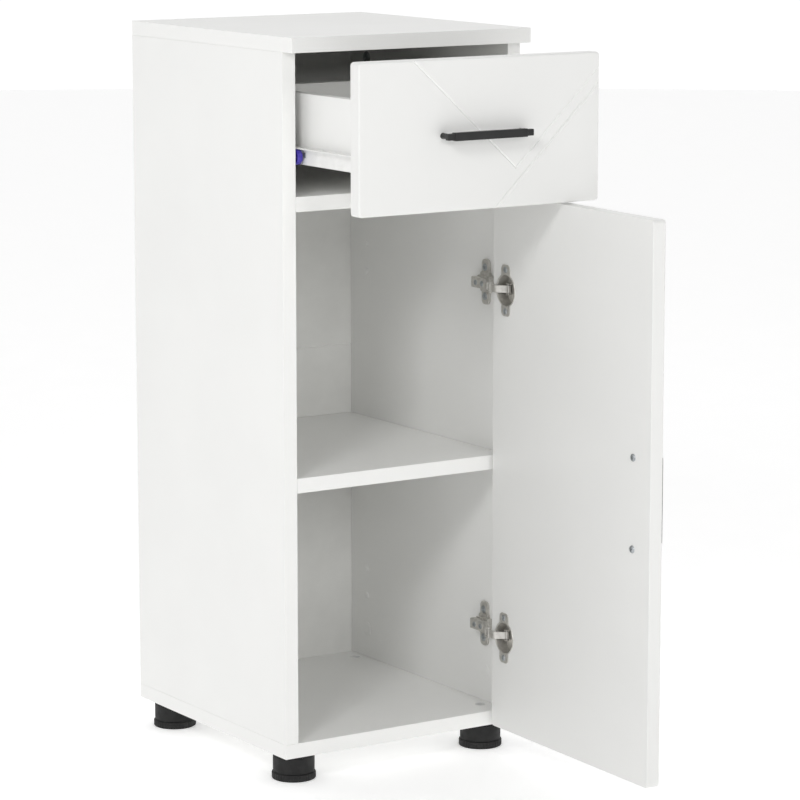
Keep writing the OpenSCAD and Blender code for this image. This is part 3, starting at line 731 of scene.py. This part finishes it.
@dataclass
class PressedFront:
    """A routed fibreboard front under foil: round corners, soft edges and V-grooves with soft rims."""

    low: tuple[float, float]
    high: tuple[float, float]
    inner_y: float
    thickness: float = 16.0
    corner: float = 4.0
    outer_ease: float = 2.2
    inner_ease: float = 0.8
    grooves: list[Groove] = field(default_factory=list)

    def body_mesh(self) -> BMesh:
        """Returns the front without its grooves, closed and in millimetre-true size."""
        bm = bmesh.new()
        half_x, half_z = (self.high[0] - self.low[0]) / 2, (self.high[1] - self.low[1]) / 2
        mid_x, mid_z = (self.high[0] + self.low[0]) / 2, (self.high[1] + self.low[1]) / 2
        levels = []
        for k in range(4):
            a = math.pi / 2 * k / 3
            levels.append((self.inner_ease * (1 - math.sin(a)), self.inner_ease * (1 - math.cos(a))))
        outer = []
        for k in range(7):
            a = math.pi / 2 * k / 6
            outer.append((self.outer_ease * (1 - math.sin(a)), self.thickness - self.outer_ease * (1 - math.cos(a))))
        levels += outer[::-1]
        rings = []
        for inset, depth in levels:
            ring = rounded_outline(half_x - inset, half_z - inset, max(self.corner - inset, 0.6))
            rings.append([Vector((mid_x + x, self.inner_y - depth, mid_z + z)) * MM for x, z in ring])
        loft(bm, rings)
        return bm

    def groove_tool(self, groove: Groove) -> BMesh:
        """Returns the cutter for one groove: a V with a round bottom and flared rims."""
        w = groove.width / 2
        half = [(w + 1.0, 1.2), (w + 0.42, -0.05), (w - 0.05, -0.32), (0.42, -(w - 0.42) - 0.12), (0.0, -w + 0.12)]
        profile = half + [(-x, y) for x, y in half[-2::-1]]
        a = math.radians(groove.slope_deg)
        along = Vector((math.cos(a), 0, math.sin(a)))
        across = Vector((-math.sin(a), 0, math.cos(a)))
        outer_y = self.inner_y - self.thickness
        start = Vector((groove.start[0], outer_y, groove.start[1]))
        rings = []
        for run in (-groove.back, groove.length):
            rings.append([(start + along * run + across * x + Vector((0, -y, 0))) * MM for x, y in profile])
        tool = bmesh.new()
        loft(tool, rings)
        return tool

    def mesh(self) -> BMesh:
        """Returns the front with its grooves cut."""
        bm = self.body_mesh()
        for groove in self.grooves:
            carve(bm, self.groove_tool(groove))
        return bm


@dataclass
class Swing:
    """The door's stored place: how the closed door's frame lies when it stands open."""

    open_deg: float = 88.0
    closed_pivot: Plan = (132.0, -172.0)

    def matrix(self) -> Matrix:
        """Returns the move from the closed door's frame to the stored one."""
        now = centre_of("hinge_cup_pins")
        return (
            Matrix.Translation((now.x, now.y, 0))
            @ turn(self.open_deg, "Z")
            @ Matrix.Translation((-self.closed_pivot[0] * MM, -self.closed_pivot[1] * MM, 0))
        )


@dataclass
class Fronts:
    """The drawer front and the door, with the grooves that cross both."""

    half_width: float = 149.0
    closed_inner_y: float = -163.0
    drawer_out: float = 127.0
    door_z: Plan = (32.0, 624.0)
    drawer_z: Plan = (626.0, 782.0)
    slope: float = 43.5
    foot: Plan = (17.0, 625.0)
    meeting: Plan = (43.3, 666.6)
    wide: float = 3.0
    fine: float = 1.8
    hinge_z: Plan = (136.0, 520.0)
    cup_x: float = 123.5
    bore_radius: float = 17.52
    bore_depth: float = 13.0

    def drawer_front(self) -> None:
        """Makes the drawer front with its wide groove and two fine ones."""
        front = PressedFront(
            (-self.half_width, self.drawer_z[0]),
            (self.half_width, self.drawer_z[1]),
            self.closed_inner_y - self.drawer_out,
            grooves=[
                Groove(self.foot, self.slope, 300.0, self.wide, 20.0),
                Groove(self.meeting, self.slope, 300.0, self.fine, 0.6),
                Groove(self.meeting, 180 - self.slope + 1.4, 300.0, self.fine, 0.6),
            ],
        )
        finish_piece("drawer_front_foil", front.mesh(), [FRONT], "drawer", "drawer_front", 24.0)

    def door(self, swing: Matrix) -> None:
        """Makes the door with the wide groove's lower run and the bores for the hinge cups."""
        front = PressedFront(
            (-self.half_width, self.door_z[0]),
            (self.half_width, self.door_z[1]),
            self.closed_inner_y,
            grooves=[Groove(self.foot, self.slope + 180, 400.0, self.wide, 20.0)],
        )
        bm = front.mesh()
        bores = bmesh.new()
        for z in self.hinge_z:
            place = toward(FORWARD, point(self.cup_x, self.closed_inner_y + 1, z))
            r, d = self.bore_radius, self.bore_depth + 1
            lathe(bores, [(0, 0), (r, 0), (r, d), (0, d)], place, 64)
        carve(bm, bores)
        bm.transform(swing)
        finish_piece("door_foil", bm, [FRONT], "door", "door_panel", 24.0)

    def build(self, swing: Matrix) -> None:
        """Makes both fronts."""
        self.drawer_front()
        self.door(swing)


# --- handles


@dataclass
class BarHandle:
    """A square black bar on two turned posts, stepped down to thinner tips at both ends."""

    length: float = 106.0
    pitch: float = 96.0
    grip_length: float = 90.0
    grip_height: float = 8.5
    grip_depth: float = 7.0
    tip_height: float = 6.8
    tip_depth: float = 5.4
    reach: float = 19.0
    post_radius: float = 3.2
    face_thickness: float = 16.0
    door_place: Triple = (-118.0, -179.0, 328.0)

    def bar(self, place: Matrix) -> BMesh:
        """Returns the bar, its tips and its posts; the door or drawer face is at y = 0."""
        bm = bmesh.new()
        g, h = self.grip_length / 2, self.grip_height / 2
        soft_box(bm, (-g, -self.reach, -h), (g, -self.reach + self.grip_depth, h), 0.7, place)
        for s in (-1, 1):
            ends = sorted((s * (g - 4), s * self.length / 2))
            low = (ends[0], -self.reach + 0.9, -self.tip_height / 2)
            high = (ends[1], -self.reach + 0.9 + self.tip_depth, self.tip_height / 2)
            soft_box(bm, low, high, 0.6, place)
            neck = self.reach - self.tip_depth + 0.5
            r = self.post_radius
            profile = [(0, 0.01), (r - 0.2, 0.01), (r, 0.25), (r, 1.0), (r - 0.2, 2.0), (r - 0.2, neck - 2.4)]
            profile += [(r, neck - 1.4), (r, neck), (0, neck)]
            post = place @ toward(FORWARD, point(s * self.pitch / 2, 0, 0))
            lathe(bm, profile, post)
        return bm

    def screws(self, place: Matrix) -> BMesh:
        """Returns the two screw heads and shanks at the inner face."""
        bm = bmesh.new()
        for s in (-1, 1):
            head = point(s * self.pitch / 2, self.face_thickness, 0)
            Screw(4.0, 1.8, 1.98, self.face_thickness + 8).add(bm, place @ toward(BACKWARD, head))
        return bm

    def build(self, name: str, body: str, place: Matrix) -> None:
        """Makes the handle and its screws, standing for the CAD nodes of the same name."""
        finish_piece(name + "_bar", self.bar(place), [BLACK_METAL], body, name)
        screws = self.screws(place)
        finish_piece(name + "_screw_heads", screws, [ZINC], body, name + "_screws")


@dataclass
class Screw:
    """A pan-head screw with a cross recess; its head's underside is at the local origin."""

    head_radius: float
    head_height: float
    shank_radius: float
    length: float

    def add(self, bm: BMesh, place: Matrix) -> None:
        """Adds the screw, with its head along the local Z axis, to a mesh."""
        r, t = self.head_radius, self.head_height
        shell = bmesh.new()
        profile = [(0, -self.length), (self.shank_radius * 0.4, -self.length)]
        profile += [(self.shank_radius, -self.length + self.shank_radius), (self.shank_radius, 0)]
        profile += [(r, 0), (r, t * 0.35), (r * 0.9, t * 0.72), (r * 0.66, t * 0.94), (r * 0.3, t), (0, t)]
        lathe(shell, profile, STILL, 32)
        tool = bmesh.new()
        arm, wide = r * 0.55, r * 0.12 + 0.12
        slot = [(-wide, -arm), (wide, -arm), (wide, -wide), (arm, -wide), (arm, wide), (wide, wide)]
        slot += [(wide, arm), (-wide, arm), (-wide, wide), (-arm, wide), (-arm, -wide), (-wide, -wide)]
        rings = []
        for height, shrink in ((t * 0.25, 0.55), (t + 0.6, 1.0)):
            rings.append([Vector((x * shrink, y * shrink, height)) * MM for x, y in slot])
        loft(tool, rings)
        carve(shell, tool)
        shell.transform(place)
        join(bm, shell)


# --- hinges


@dataclass
class ConcealedHinges:
    """The two cup hinges: mounting plate, arm, goose-neck link and cup, with their screws and pins."""

    heights: dict[str, float] = field(default_factory=lambda: {"lower": 136.0, "upper": 520.0})
    wall_x: float = 134.0
    plate_y: float = -123.0
    plate_half: float = 25.0
    plate_thick: float = 3.0
    arm_x: float = 122.1
    arm_pivot: Plan = (110.7, -163.2)
    cup_x: float = 123.5
    front_in: float = -163.0
    cup_radius: float = 17.5
    cup_depth: float = 13.0
    lug_x: float = 132.0
    wall_screw_z: float = 16.0
    cup_screw_z: float = 22.5
    arm_screw_y: Plan = (-133.0, -121.0)

    def plate(self, name: str, z: float) -> None:
        """Makes the winged mounting plate with its raised seat and its two wall screws."""
        bm = bmesh.new()
        wall = shift(self.wall_x, self.plate_y, z) @ turn(-90, "Y")
        slab(bm, rounded_outline(self.plate_half, 7.0, 5.0), 0.0, self.plate_thick, 0.5, wall)
        waist = rounded_outline(11.0, 8.4, 2.0)
        slab(bm, waist, 0.0, self.plate_thick + 0.9, 0.5, wall)
        low = (self.arm_x + 4.4, self.plate_y - 13, z - 7.2)
        high = (self.wall_x, self.plate_y + 9, z + 7.2)
        soft_box(bm, low, high, 0.8)
        for s in (-1, 1):
            ring = wall @ shift(s * self.wall_screw_z, 0, self.plate_thick)
            lathe(bm, [(4.4, -0.5), (5.6, -0.5), (5.6, 0.25), (5.2, 0.5), (4.6, 0.5), (4.4, 0.2), (4.4, -0.5)], ring)
        finish_piece(f"hinge_{name}_mounting_plate", bm, [NICKEL], "cabinet", f"hinge_plate_{name}")

    def arm(self, name: str, z: float) -> None:
        """Makes the arm: two cheeks at the pivot that close into a pressed channel on the plate."""
        bm = bmesh.new()
        at = shift(0, 0, z)
        px, py = self.arm_pivot
        neck, knee = (px + 0.4, py + 6.0), (self.arm_x, -140.0)
        path = [(px, py), (px + 0.1, py + 2.5), neck, (px + 4.2, py + 11.5), knee]
        for s in (-1, 1):
            low, high = sorted((s * 4.36, s * 5.74))
            slab(bm, thick_path(path, [4.1, 4.0, 4.0, 4.1, 4.1]), low, high, 0.25, at)
        bend = [(px + 3.1, py + 10.2), (px + 6.3, py + 15.2), (self.arm_x + 0.2, -139.0)]
        slab(bm, thick_path(bend, [3.4, 3.4, 3.4]), -4.9, 4.9, 0.5, at)
        low = (self.arm_x - 2.5, -141.0, -5.9)
        high = (self.arm_x + 4.4, -112.0, 5.9)
        soft_box(bm, low, high, 1.1, at)
        for y in self.arm_screw_y:
            seat = shift(self.arm_x - 2.5, y, z) @ turn(-90, "Y")
            lathe(bm, [(3.0, -0.6), (4.1, -0.6), (4.1, 0.0), (3.8, 0.25), (3.2, 0.25), (3.0, 0.0), (3.0, -0.6)], seat)
        finish_piece(f"hinge_{name}_pressed_arm", bm, [NICKEL], "cabinet", f"hinge_arm_{name}")

    def link(self, name: str, z: float) -> None:
        """Makes the goose-neck link with a rolled eye at each end."""
        bm = bmesh.new()
        arm = centre_of("hinge_arm_pins").xy / MM
        cup = centre_of("hinge_cup_pins").xy / MM
        along = (arm - cup).normalized()
        side = Vector((-along.y, along.x))
        bends = [cup + along * 11 + side * 6.6, cup + along * 14.5 + side * 6.8]
        points = [cup, cup + (bends[0] - cup) * 0.6, *bends, bends[1] + (arm - bends[1]) * 0.5, arm]
        at = shift(0, 0, z)
        slab(bm, thick_path([(p.x, p.y) for p in points], [1.8] * len(points)), -3.95, 3.95, 0.25, at)
        for p in (arm, cup):
            eye = at @ shift(p.x, p.y, 0)
            lathe(bm, [(1.26, -4), (1.95, -4), (2.1, -3.8), (2.1, 3.8), (1.95, 4), (1.26, 4), (1.26, -4)], eye, 32)
        finish_piece(f"hinge_{name}_goose_neck", bm, [NICKEL], "hinge_links", f"hinge_link_{name}")

    def cup(self, name: str, z: float, swing: Matrix) -> None:
        """Makes the deep-drawn cup with its rolled lip, screw wings and pin lugs."""
        bm = bmesh.new()
        r, d = self.cup_radius, self.cup_depth
        at = swing @ toward(BACKWARD, point(self.cup_x, self.front_in, z))
        outside = [(0, -d), (r - 1.6, -d), (r - 0.5, -d + 0.5), (r - 0.05, -d + 1.6), (r - 0.05, 0.0)]
        rim = [(r + 0.9, 0.0), (r + 1.0, 0.35), (r + 0.8, 0.8), (r + 0.2, 1.0), (r - 0.5, 0.75)]
        inside = [(r - 0.9, 0.1), (r - 0.9, -d + 2.2), (r - 1.5, -d + 1.1), (r - 2.6, -d + 0.8), (0, -d + 0.8)]
        lathe(bm, outside + rim + inside, at, 72)
        wings = bmesh.new()
        wing = swing @ shift(self.cup_x, self.front_in, z) @ turn(90, "X")
        slab(wings, rounded_outline(8.5, 28.0, 5.0), -0.96, 0.0, 0.3, wing)
        hole = bmesh.new()
        lathe(hole, [(0, -3), (r - 0.4, -3), (r - 0.4, 4), (0, 4)], at, 72)
        carve(wings, hole)
        join(bm, wings)
        notch = bmesh.new()
        low = (self.cup_x + 12.4, self.front_in - 3.6, z - 4.9)
        soft_box(notch, low, (self.cup_x + r + 3, self.front_in + 3, z + 4.9), 0.3, swing)
        carve(bm, notch)
        for s in (-1, 1):
            low, high = sorted((s * 4.6, s * 6.2))
            corner = (self.lug_x - 2.4, self.front_in - d + 0.7, z + low)
            soft_box(bm, corner, (self.lug_x + 2.4, self.front_in - 6.8, z + high), 0.5, swing)
        finish_piece(f"hinge_{name}_drawn_cup", bm, [NICKEL], "door", f"hinge_cup_{name}")

    def screws(self, swing: Matrix) -> None:
        """Makes the wall screws, the arm screws and the cup screws."""
        wall, arm, cup = bmesh.new(), bmesh.new(), bmesh.new()
        for z in self.heights.values():
            for s in (-1, 1):
                spot = point(self.wall_x - self.plate_thick, self.plate_y, z + s * self.wall_screw_z)
                Screw(4.2, 1.2, 2.48, 13).add(wall, toward(Vector((-1, 0, 0)), spot))
                spot = point(self.cup_x, self.front_in + 1, z + s * self.cup_screw_z)
                Screw(3.4, 1.1, 1.68, 10).add(cup, swing @ toward(BACKWARD, spot))
            for y in self.arm_screw_y:
                spot = point(self.arm_x - 2.5, y, z)
                Screw(2.9, 1.0, 1.78, 7.5).add(arm, toward(Vector((-1, 0, 0)), spot))
        finish_piece("hinge_wall_screws", wall, [ZINC], "cabinet", "hinge_plate_screws")
        finish_piece("hinge_adjusting_screws", arm, [ZINC], "cabinet", "hinge_arm_screws")
        finish_piece("hinge_cup_fixing_screws", cup, [ZINC], "door", "hinge_cup_screws")

    def build(self, frame: dict, swing: Matrix) -> None:
        """Makes both hinges."""
        for name, z in self.heights.items():
            self.plate(name, z)
            self.arm(name, z)
            self.link(name, z)
            self.cup(name, z, swing)
        self.screws(swing)
        for node in ("hinge_arm_pins", "hinge_cup_pins"):
            dress_node(frame, node, ZINC)


# --- runners


@dataclass
class Runners:
    """The white roller runners: rolled steel rails, blue rollers, and the screws that hold them."""

    roller_radius: float = 8.5
    roller_width: float = 6.0
    wall_screw_x: float = 132.8
    wall_screw_y: Triple = (-123.0, -27.0, 69.0)
    rail_screw_x: float = 122.7
    rail_screw_inset: float = 2.8
    middle_screw_y: float = -160.0

    def rail(self, frame: dict, node: str, body: str) -> None:
        """Makes a rail with the soft edges of rolled and painted sheet."""
        bm = node_mesh(frame, node)
        ease_edges(bm, 0.28, 2.5)
        finish_piece(node + "_rolled_sheet", bm, [WHITE_STEEL], body, node)

    def roller(self, node: str) -> None:
        """Makes a moulded roller with a crowned tread, a recessed face and a hub."""
        bm = bmesh.new()
        r, w = self.roller_radius, self.roller_width / 2
        half = [(2.06, 0), (2.06, w - 0.6), (3.3, w - 0.6), (3.5, w - 0.9), (6.2, w - 0.9), (6.5, w - 0.5)]
        half += [(6.7, w - 0.05), (7.0, w), (r - 0.45, w), (r - 0.1, w - 0.5), (r, w - 1.2), (r, 0)]
        profile = half + [(x, -h) for x, h in half[-2:0:-1]] + [(2.06, 0)]
        lathe(bm, profile, toward(Vector((1, 0, 0)), centre_of(node)), 64)
        finish_piece(node + "_moulded", bm, [BLUE_PLASTIC], node, node)

    def screw_row(self, name: str, node: str, body: str, screw: Screw, spots: list[Vector], inward: bool) -> None:
        """Makes a row of screws on both sides of the cabinet."""
        bm = bmesh.new()
        for spot in spots:
            for side in (-1, 1):
                axis = Vector((-side if inward else side, 0, 0))
                screw.add(bm, toward(axis, point(side * spot.x, spot.y, spot.z)))
        finish_piece(name, bm, [ZINC], body, node)

    def build(self, frame: dict) -> None:
        """Makes the rails, the rollers and the screws, and dresses the axles."""
        for side in ("left", "right"):
            self.rail(frame, f"runner_{side}", "cabinet")
            self.rail(frame, f"drawer_rail_{side}", "drawer")
            self.roller(f"front_roller_{side}")
            self.roller(f"rear_roller_{side}")
        wall = centre_of("runner_screws").z / MM
        spots = [Vector((self.wall_screw_x, y, wall)) for y in self.wall_screw_y]
        self.screw_row("runner_wall_screws", "runner_screws", "cabinet", Screw(3.4, 1.1, 1.68, 12), spots, True)
        side_z = centre_of("drawer_rail_screws").z / MM
        low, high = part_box("drawer_rail_screws")
        ys = (low.y / MM + self.rail_screw_inset, self.middle_screw_y, high.y / MM - self.rail_screw_inset)
        spots = [Vector((self.rail_screw_x, y, side_z)) for y in ys]
        self.screw_row("drawer_rail_fixing", "drawer_rail_screws", "drawer", Screw(2.8, 1.0, 1.48, 7.5), spots, False)
        for node in ("front_roller_axles", "rear_roller_axles"):
            dress_node(frame, node, ZINC)


# --- feet


@dataclass
class Feet:
    """Four moulded feet: a ribbed socket under the floor panel and a levelling base screwed into it."""

    socket_radius: float = 23.0
    base_radius: float = 24.0
    base_height: float = 7.7
    panel_z: float = 30.0
    grips: int = 40

    def socket(self, node: str) -> None:
        """Makes one socket: a drum with a shadow line under its top flange."""
        bm = bmesh.new()
        centre = centre_of(node)
        r, top = self.socket_radius, self.panel_z
        outside = [(5.06, 8.0), (9.0, 8.0), (9.0, 24.0), (20.6, 24.0), (20.9, 8.6), (21.3, 8.0), (22.3, 8.0)]
        outside += [(22.6, 8.4), (22.7, 12.0), (22.7, top - 4.6), (22.2, top - 4.2), (22.2, top - 3.6)]
        outside += [(r - 0.2, top - 3.2), (r, top - 2.8), (r, top - 0.3), (r - 0.2, top), (8.0, top)]
        outside += [(8.0, top + 9.0), (5.06, top + 9.0), (5.06, 8.0)]
        lathe(bm, outside, Matrix.Translation((centre.x, centre.y, 0)), 96)
        finish_piece(node + "_moulded", bm, [BLACK_PLASTIC], "cabinet", node)

    def base(self, node: str) -> None:
        """Makes one levelling base: a disc with finger grips round its rim, and its screwdriver stem."""
        bm = bmesh.new()
        centre = centre_of(node)
        at = Matrix.Translation((centre.x, centre.y, 0))
        steps = self.grips * 4
        levels = [(0.0, -1.2), (0.4, -0.5), (1.2, 0.0), (6.4, 0.0), (7.2, -0.35), (self.base_height, -1.0)]
        rings = []
        for height, inset in levels:
            ring = []
            for k in range(steps):
                a = 2 * math.pi * k / steps
                dip = 0.45 if k % 4 == 0 and 0.3 < height < 7.5 else 0.0
                r = self.base_radius + inset - dip
                ring.append(at @ (Vector((r * math.cos(a), r * math.sin(a), height)) * MM))
            rings.append(ring)
        loft(bm, rings)
        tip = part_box(node)[1].z / MM
        stem = [(0, 7.0), (5.0, 7.0)]
        for k in range(int((tip - 9.0) / 1.5)):
            h = 8.0 + 1.5 * k
            stem += [(4.55, h), (5.0, h + 0.75)]
        stem += [(4.6, tip - 0.4), (4.2, tip), (0, tip)]
        shell = bmesh.new()
        lathe(shell, stem, at, 40)
        tool = bmesh.new()
        soft_box(tool, (-3.6, -0.6, tip - 1.8), (3.6, 0.6, tip + 2), 0.05, at)
        carve(shell, tool)
        join(bm, shell)
        finish_piece(node + "_moulded", bm, [BLACK_PLASTIC], node, node, 30.0)

    def build(self) -> None:
        """Makes the four feet."""
        for end in ("front", "back"):
            for side in ("left", "right"):
                self.socket(f"foot_{end}_{side}")
                self.base(f"foot_base_{end}_{side}")


# --- small fittings


@dataclass
class Fittings:
    """Cover caps, shelf pins and the hidden fittings in the boards."""

    wall_x: float = 134.0
    cam_rows: Plan = (-122.0, 122.0)
    cam_cap_z: float = 80.0
    cam_cap_radius: float = 8.2
    hinge_rows: tuple[float, ...] = (120.0, 152.0, 504.0, 536.0)
    hole_row_y: float = 123.0
    hole_cap_radius: float = 4.1

    def cap(self, bm: BMesh, side: int, y: float, z: float, radius: float) -> None:
        """Adds one shallow domed cap on a side panel's inner face."""
        r = radius
        dome = [(0, -0.5), (r * 0.7, -0.5), (r * 0.7, 0), (r, 0), (r, 0.25), (r * 0.94, 0.55), (r * 0.8, 0.8)]
        dome += [(r * 0.5, 0.95), (0, 1.0)]
        lathe(bm, dome, toward(Vector((-side, 0, 0)), point(side * self.wall_x, y, z)))

    def build(self, frame: dict) -> None:
        """Makes the caps and dresses the rest."""
        bm = bmesh.new()
        for side in (-1, 1):
            for y in self.cam_rows:
                self.cap(bm, side, y, self.cam_cap_z, self.cam_cap_radius)
            for z in self.hinge_rows:
                self.cap(bm, side, self.hole_row_y, z, self.hole_cap_radius)
                if side < 0:
                    self.cap(bm, side, -self.hole_row_y, z, self.hole_cap_radius)
        finish_piece("cover_caps_domed", bm, [WHITE_PLASTIC], "cabinet", "cover_caps")
        for node in ("shelf_pins", "back_board_nails", "cam_bolts", "cam_locks"):
            dress_node(frame, node, ZINC)
        for node in ("dowels", "drawer_dowels"):
            dress_node(frame, node, BEECH)


# --- studio


@dataclass
class Studio:
    """A white photo studio: one long lens, a pale floor, a white surround and two soft lamps."""

    camera_at: Triple = (-2.0145, -3.2380, 1.0393)
    yaw_deg: float = 33.145
    pitch_deg: float = -9.766
    lens: float = 156.59
    sensor: float = 36.0
    backdrop: float = 1.05
    room: float = 0.2
    key: float = 39.0
    front: float = 26.0
    floor_glow: float = 0.3
    floor_radius: float = 9000.0
    brightest_way: Triple = (0.45, 0.89, 0.0)

    def camera(self) -> None:
        """Makes the camera, standing at the front left and looking slightly down."""
        data = bpy.data.cameras.new("camera")
        data.lens = self.lens
        data.sensor_width = self.sensor
        data.clip_end = 50.0
        camera = add_object("camera", data)
        camera.location = self.camera_at
        camera.rotation_euler = (math.radians(90 + self.pitch_deg), 0.0, math.radians(-self.yaw_deg))
        bpy.context.scene.camera = camera

    def lamp(self, name: str, at: Triple, aim: Triple, size: float, power: float) -> None:
        """Makes one square soft lamp aimed at a point."""
        data = bpy.data.lights.new(name, "AREA")
        data.size, data.energy = size, power
        lamp = add_object(name, data)
        lamp.location = at
        lamp.rotation_euler = (Vector(aim) - Vector(at)).to_track_quat("-Z", "Y").to_euler()

    def floor(self) -> None:
        """Makes the pale floor, a wide disc with a fine matt tooth."""
        bm = bmesh.new()
        lathe(bm, [(0, 0), (self.floor_radius, 0)], STILL, 96)
        mesh = to_mesh("studio_floor", bm)
        matt = MelamineFace("studio_floor_paint", "#FCFCFC", 0.8, shade="#FAFAFA", pearl_mm=3.0).material()
        shader = next(n for n in matt.node_tree.nodes if n.type == "BSDF_PRINCIPLED")
        shader.inputs["Emission Color"].default_value = (1.0, 1.0, 1.0, 1.0)
        shader.inputs["Emission Strength"].default_value = self.floor_glow
        mesh.materials.append(matt)
        add_object("studio_floor", mesh)

    def build(self) -> None:
        """Makes the whole studio, the camera first."""
        self.camera()
        scene = bpy.context.scene
        scene.view_settings.view_transform = "Standard"
        scene.view_settings.look = "None"
        world = bpy.data.worlds.new("white_surround")
        world.use_nodes = True
        tree = world.node_tree
        tree.nodes.clear()
        heading = add_node(tree, "ShaderNodeTexCoord").outputs["Generated"]
        facing = add_node(
            tree, "ShaderNodeVectorMath", {1: self.brightest_way}, {0: heading}, operation="DOT_PRODUCT"
        ).outputs["Value"]
        limits = {"From Min": -0.6, "From Max": 0.5, "To Min": self.room, "To Max": self.backdrop}
        glow = add_node(tree, "ShaderNodeMapRange", limits, {"Value": facing}).outputs["Result"]
        light = add_node(tree, "ShaderNodeBackground", {"Color": (1, 1, 1, 1)}, {"Strength": glow})
        add_node(tree, "ShaderNodeOutputWorld", links={"Surface": light.outputs["Background"]})
        scene.world = world
        self.lamp("key_lamp", (-2.7, -2.2, 2.4), (0, 0, 0.4), 0.9, self.key)
        self.lamp("front_lamp", (-0.6, -3.7, 1.7), (0, 0, 0.25), 0.9, self.front)
        self.floor()


def main() -> None:
    """Builds the cabinet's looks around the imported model, class by class."""
    logging.basicConfig(level=logging.INFO, format="%(name)s: %(message)s")
    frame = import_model()
    Studio().build()
    swing = Swing().matrix()
    Boards().build(frame)
    Fronts().build(swing)
    bar = BarHandle()
    centre = centre_of("drawer_handle")
    drawer_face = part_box("drawer_front")[0].y
    bar.build("drawer_handle", "drawer", Matrix.Translation((centre.x, drawer_face, centre.z)))
    bar.build("door_handle", "door", swing @ shift(*bar.door_place) @ turn(90, "Y"))
    ConcealedHinges().build(frame, swing)
    Runners().build(frame)
    Feet().build()
    Fittings().build(frame)
    LOG.info("all pieces made")


if __name__ == "__main__":
    main()
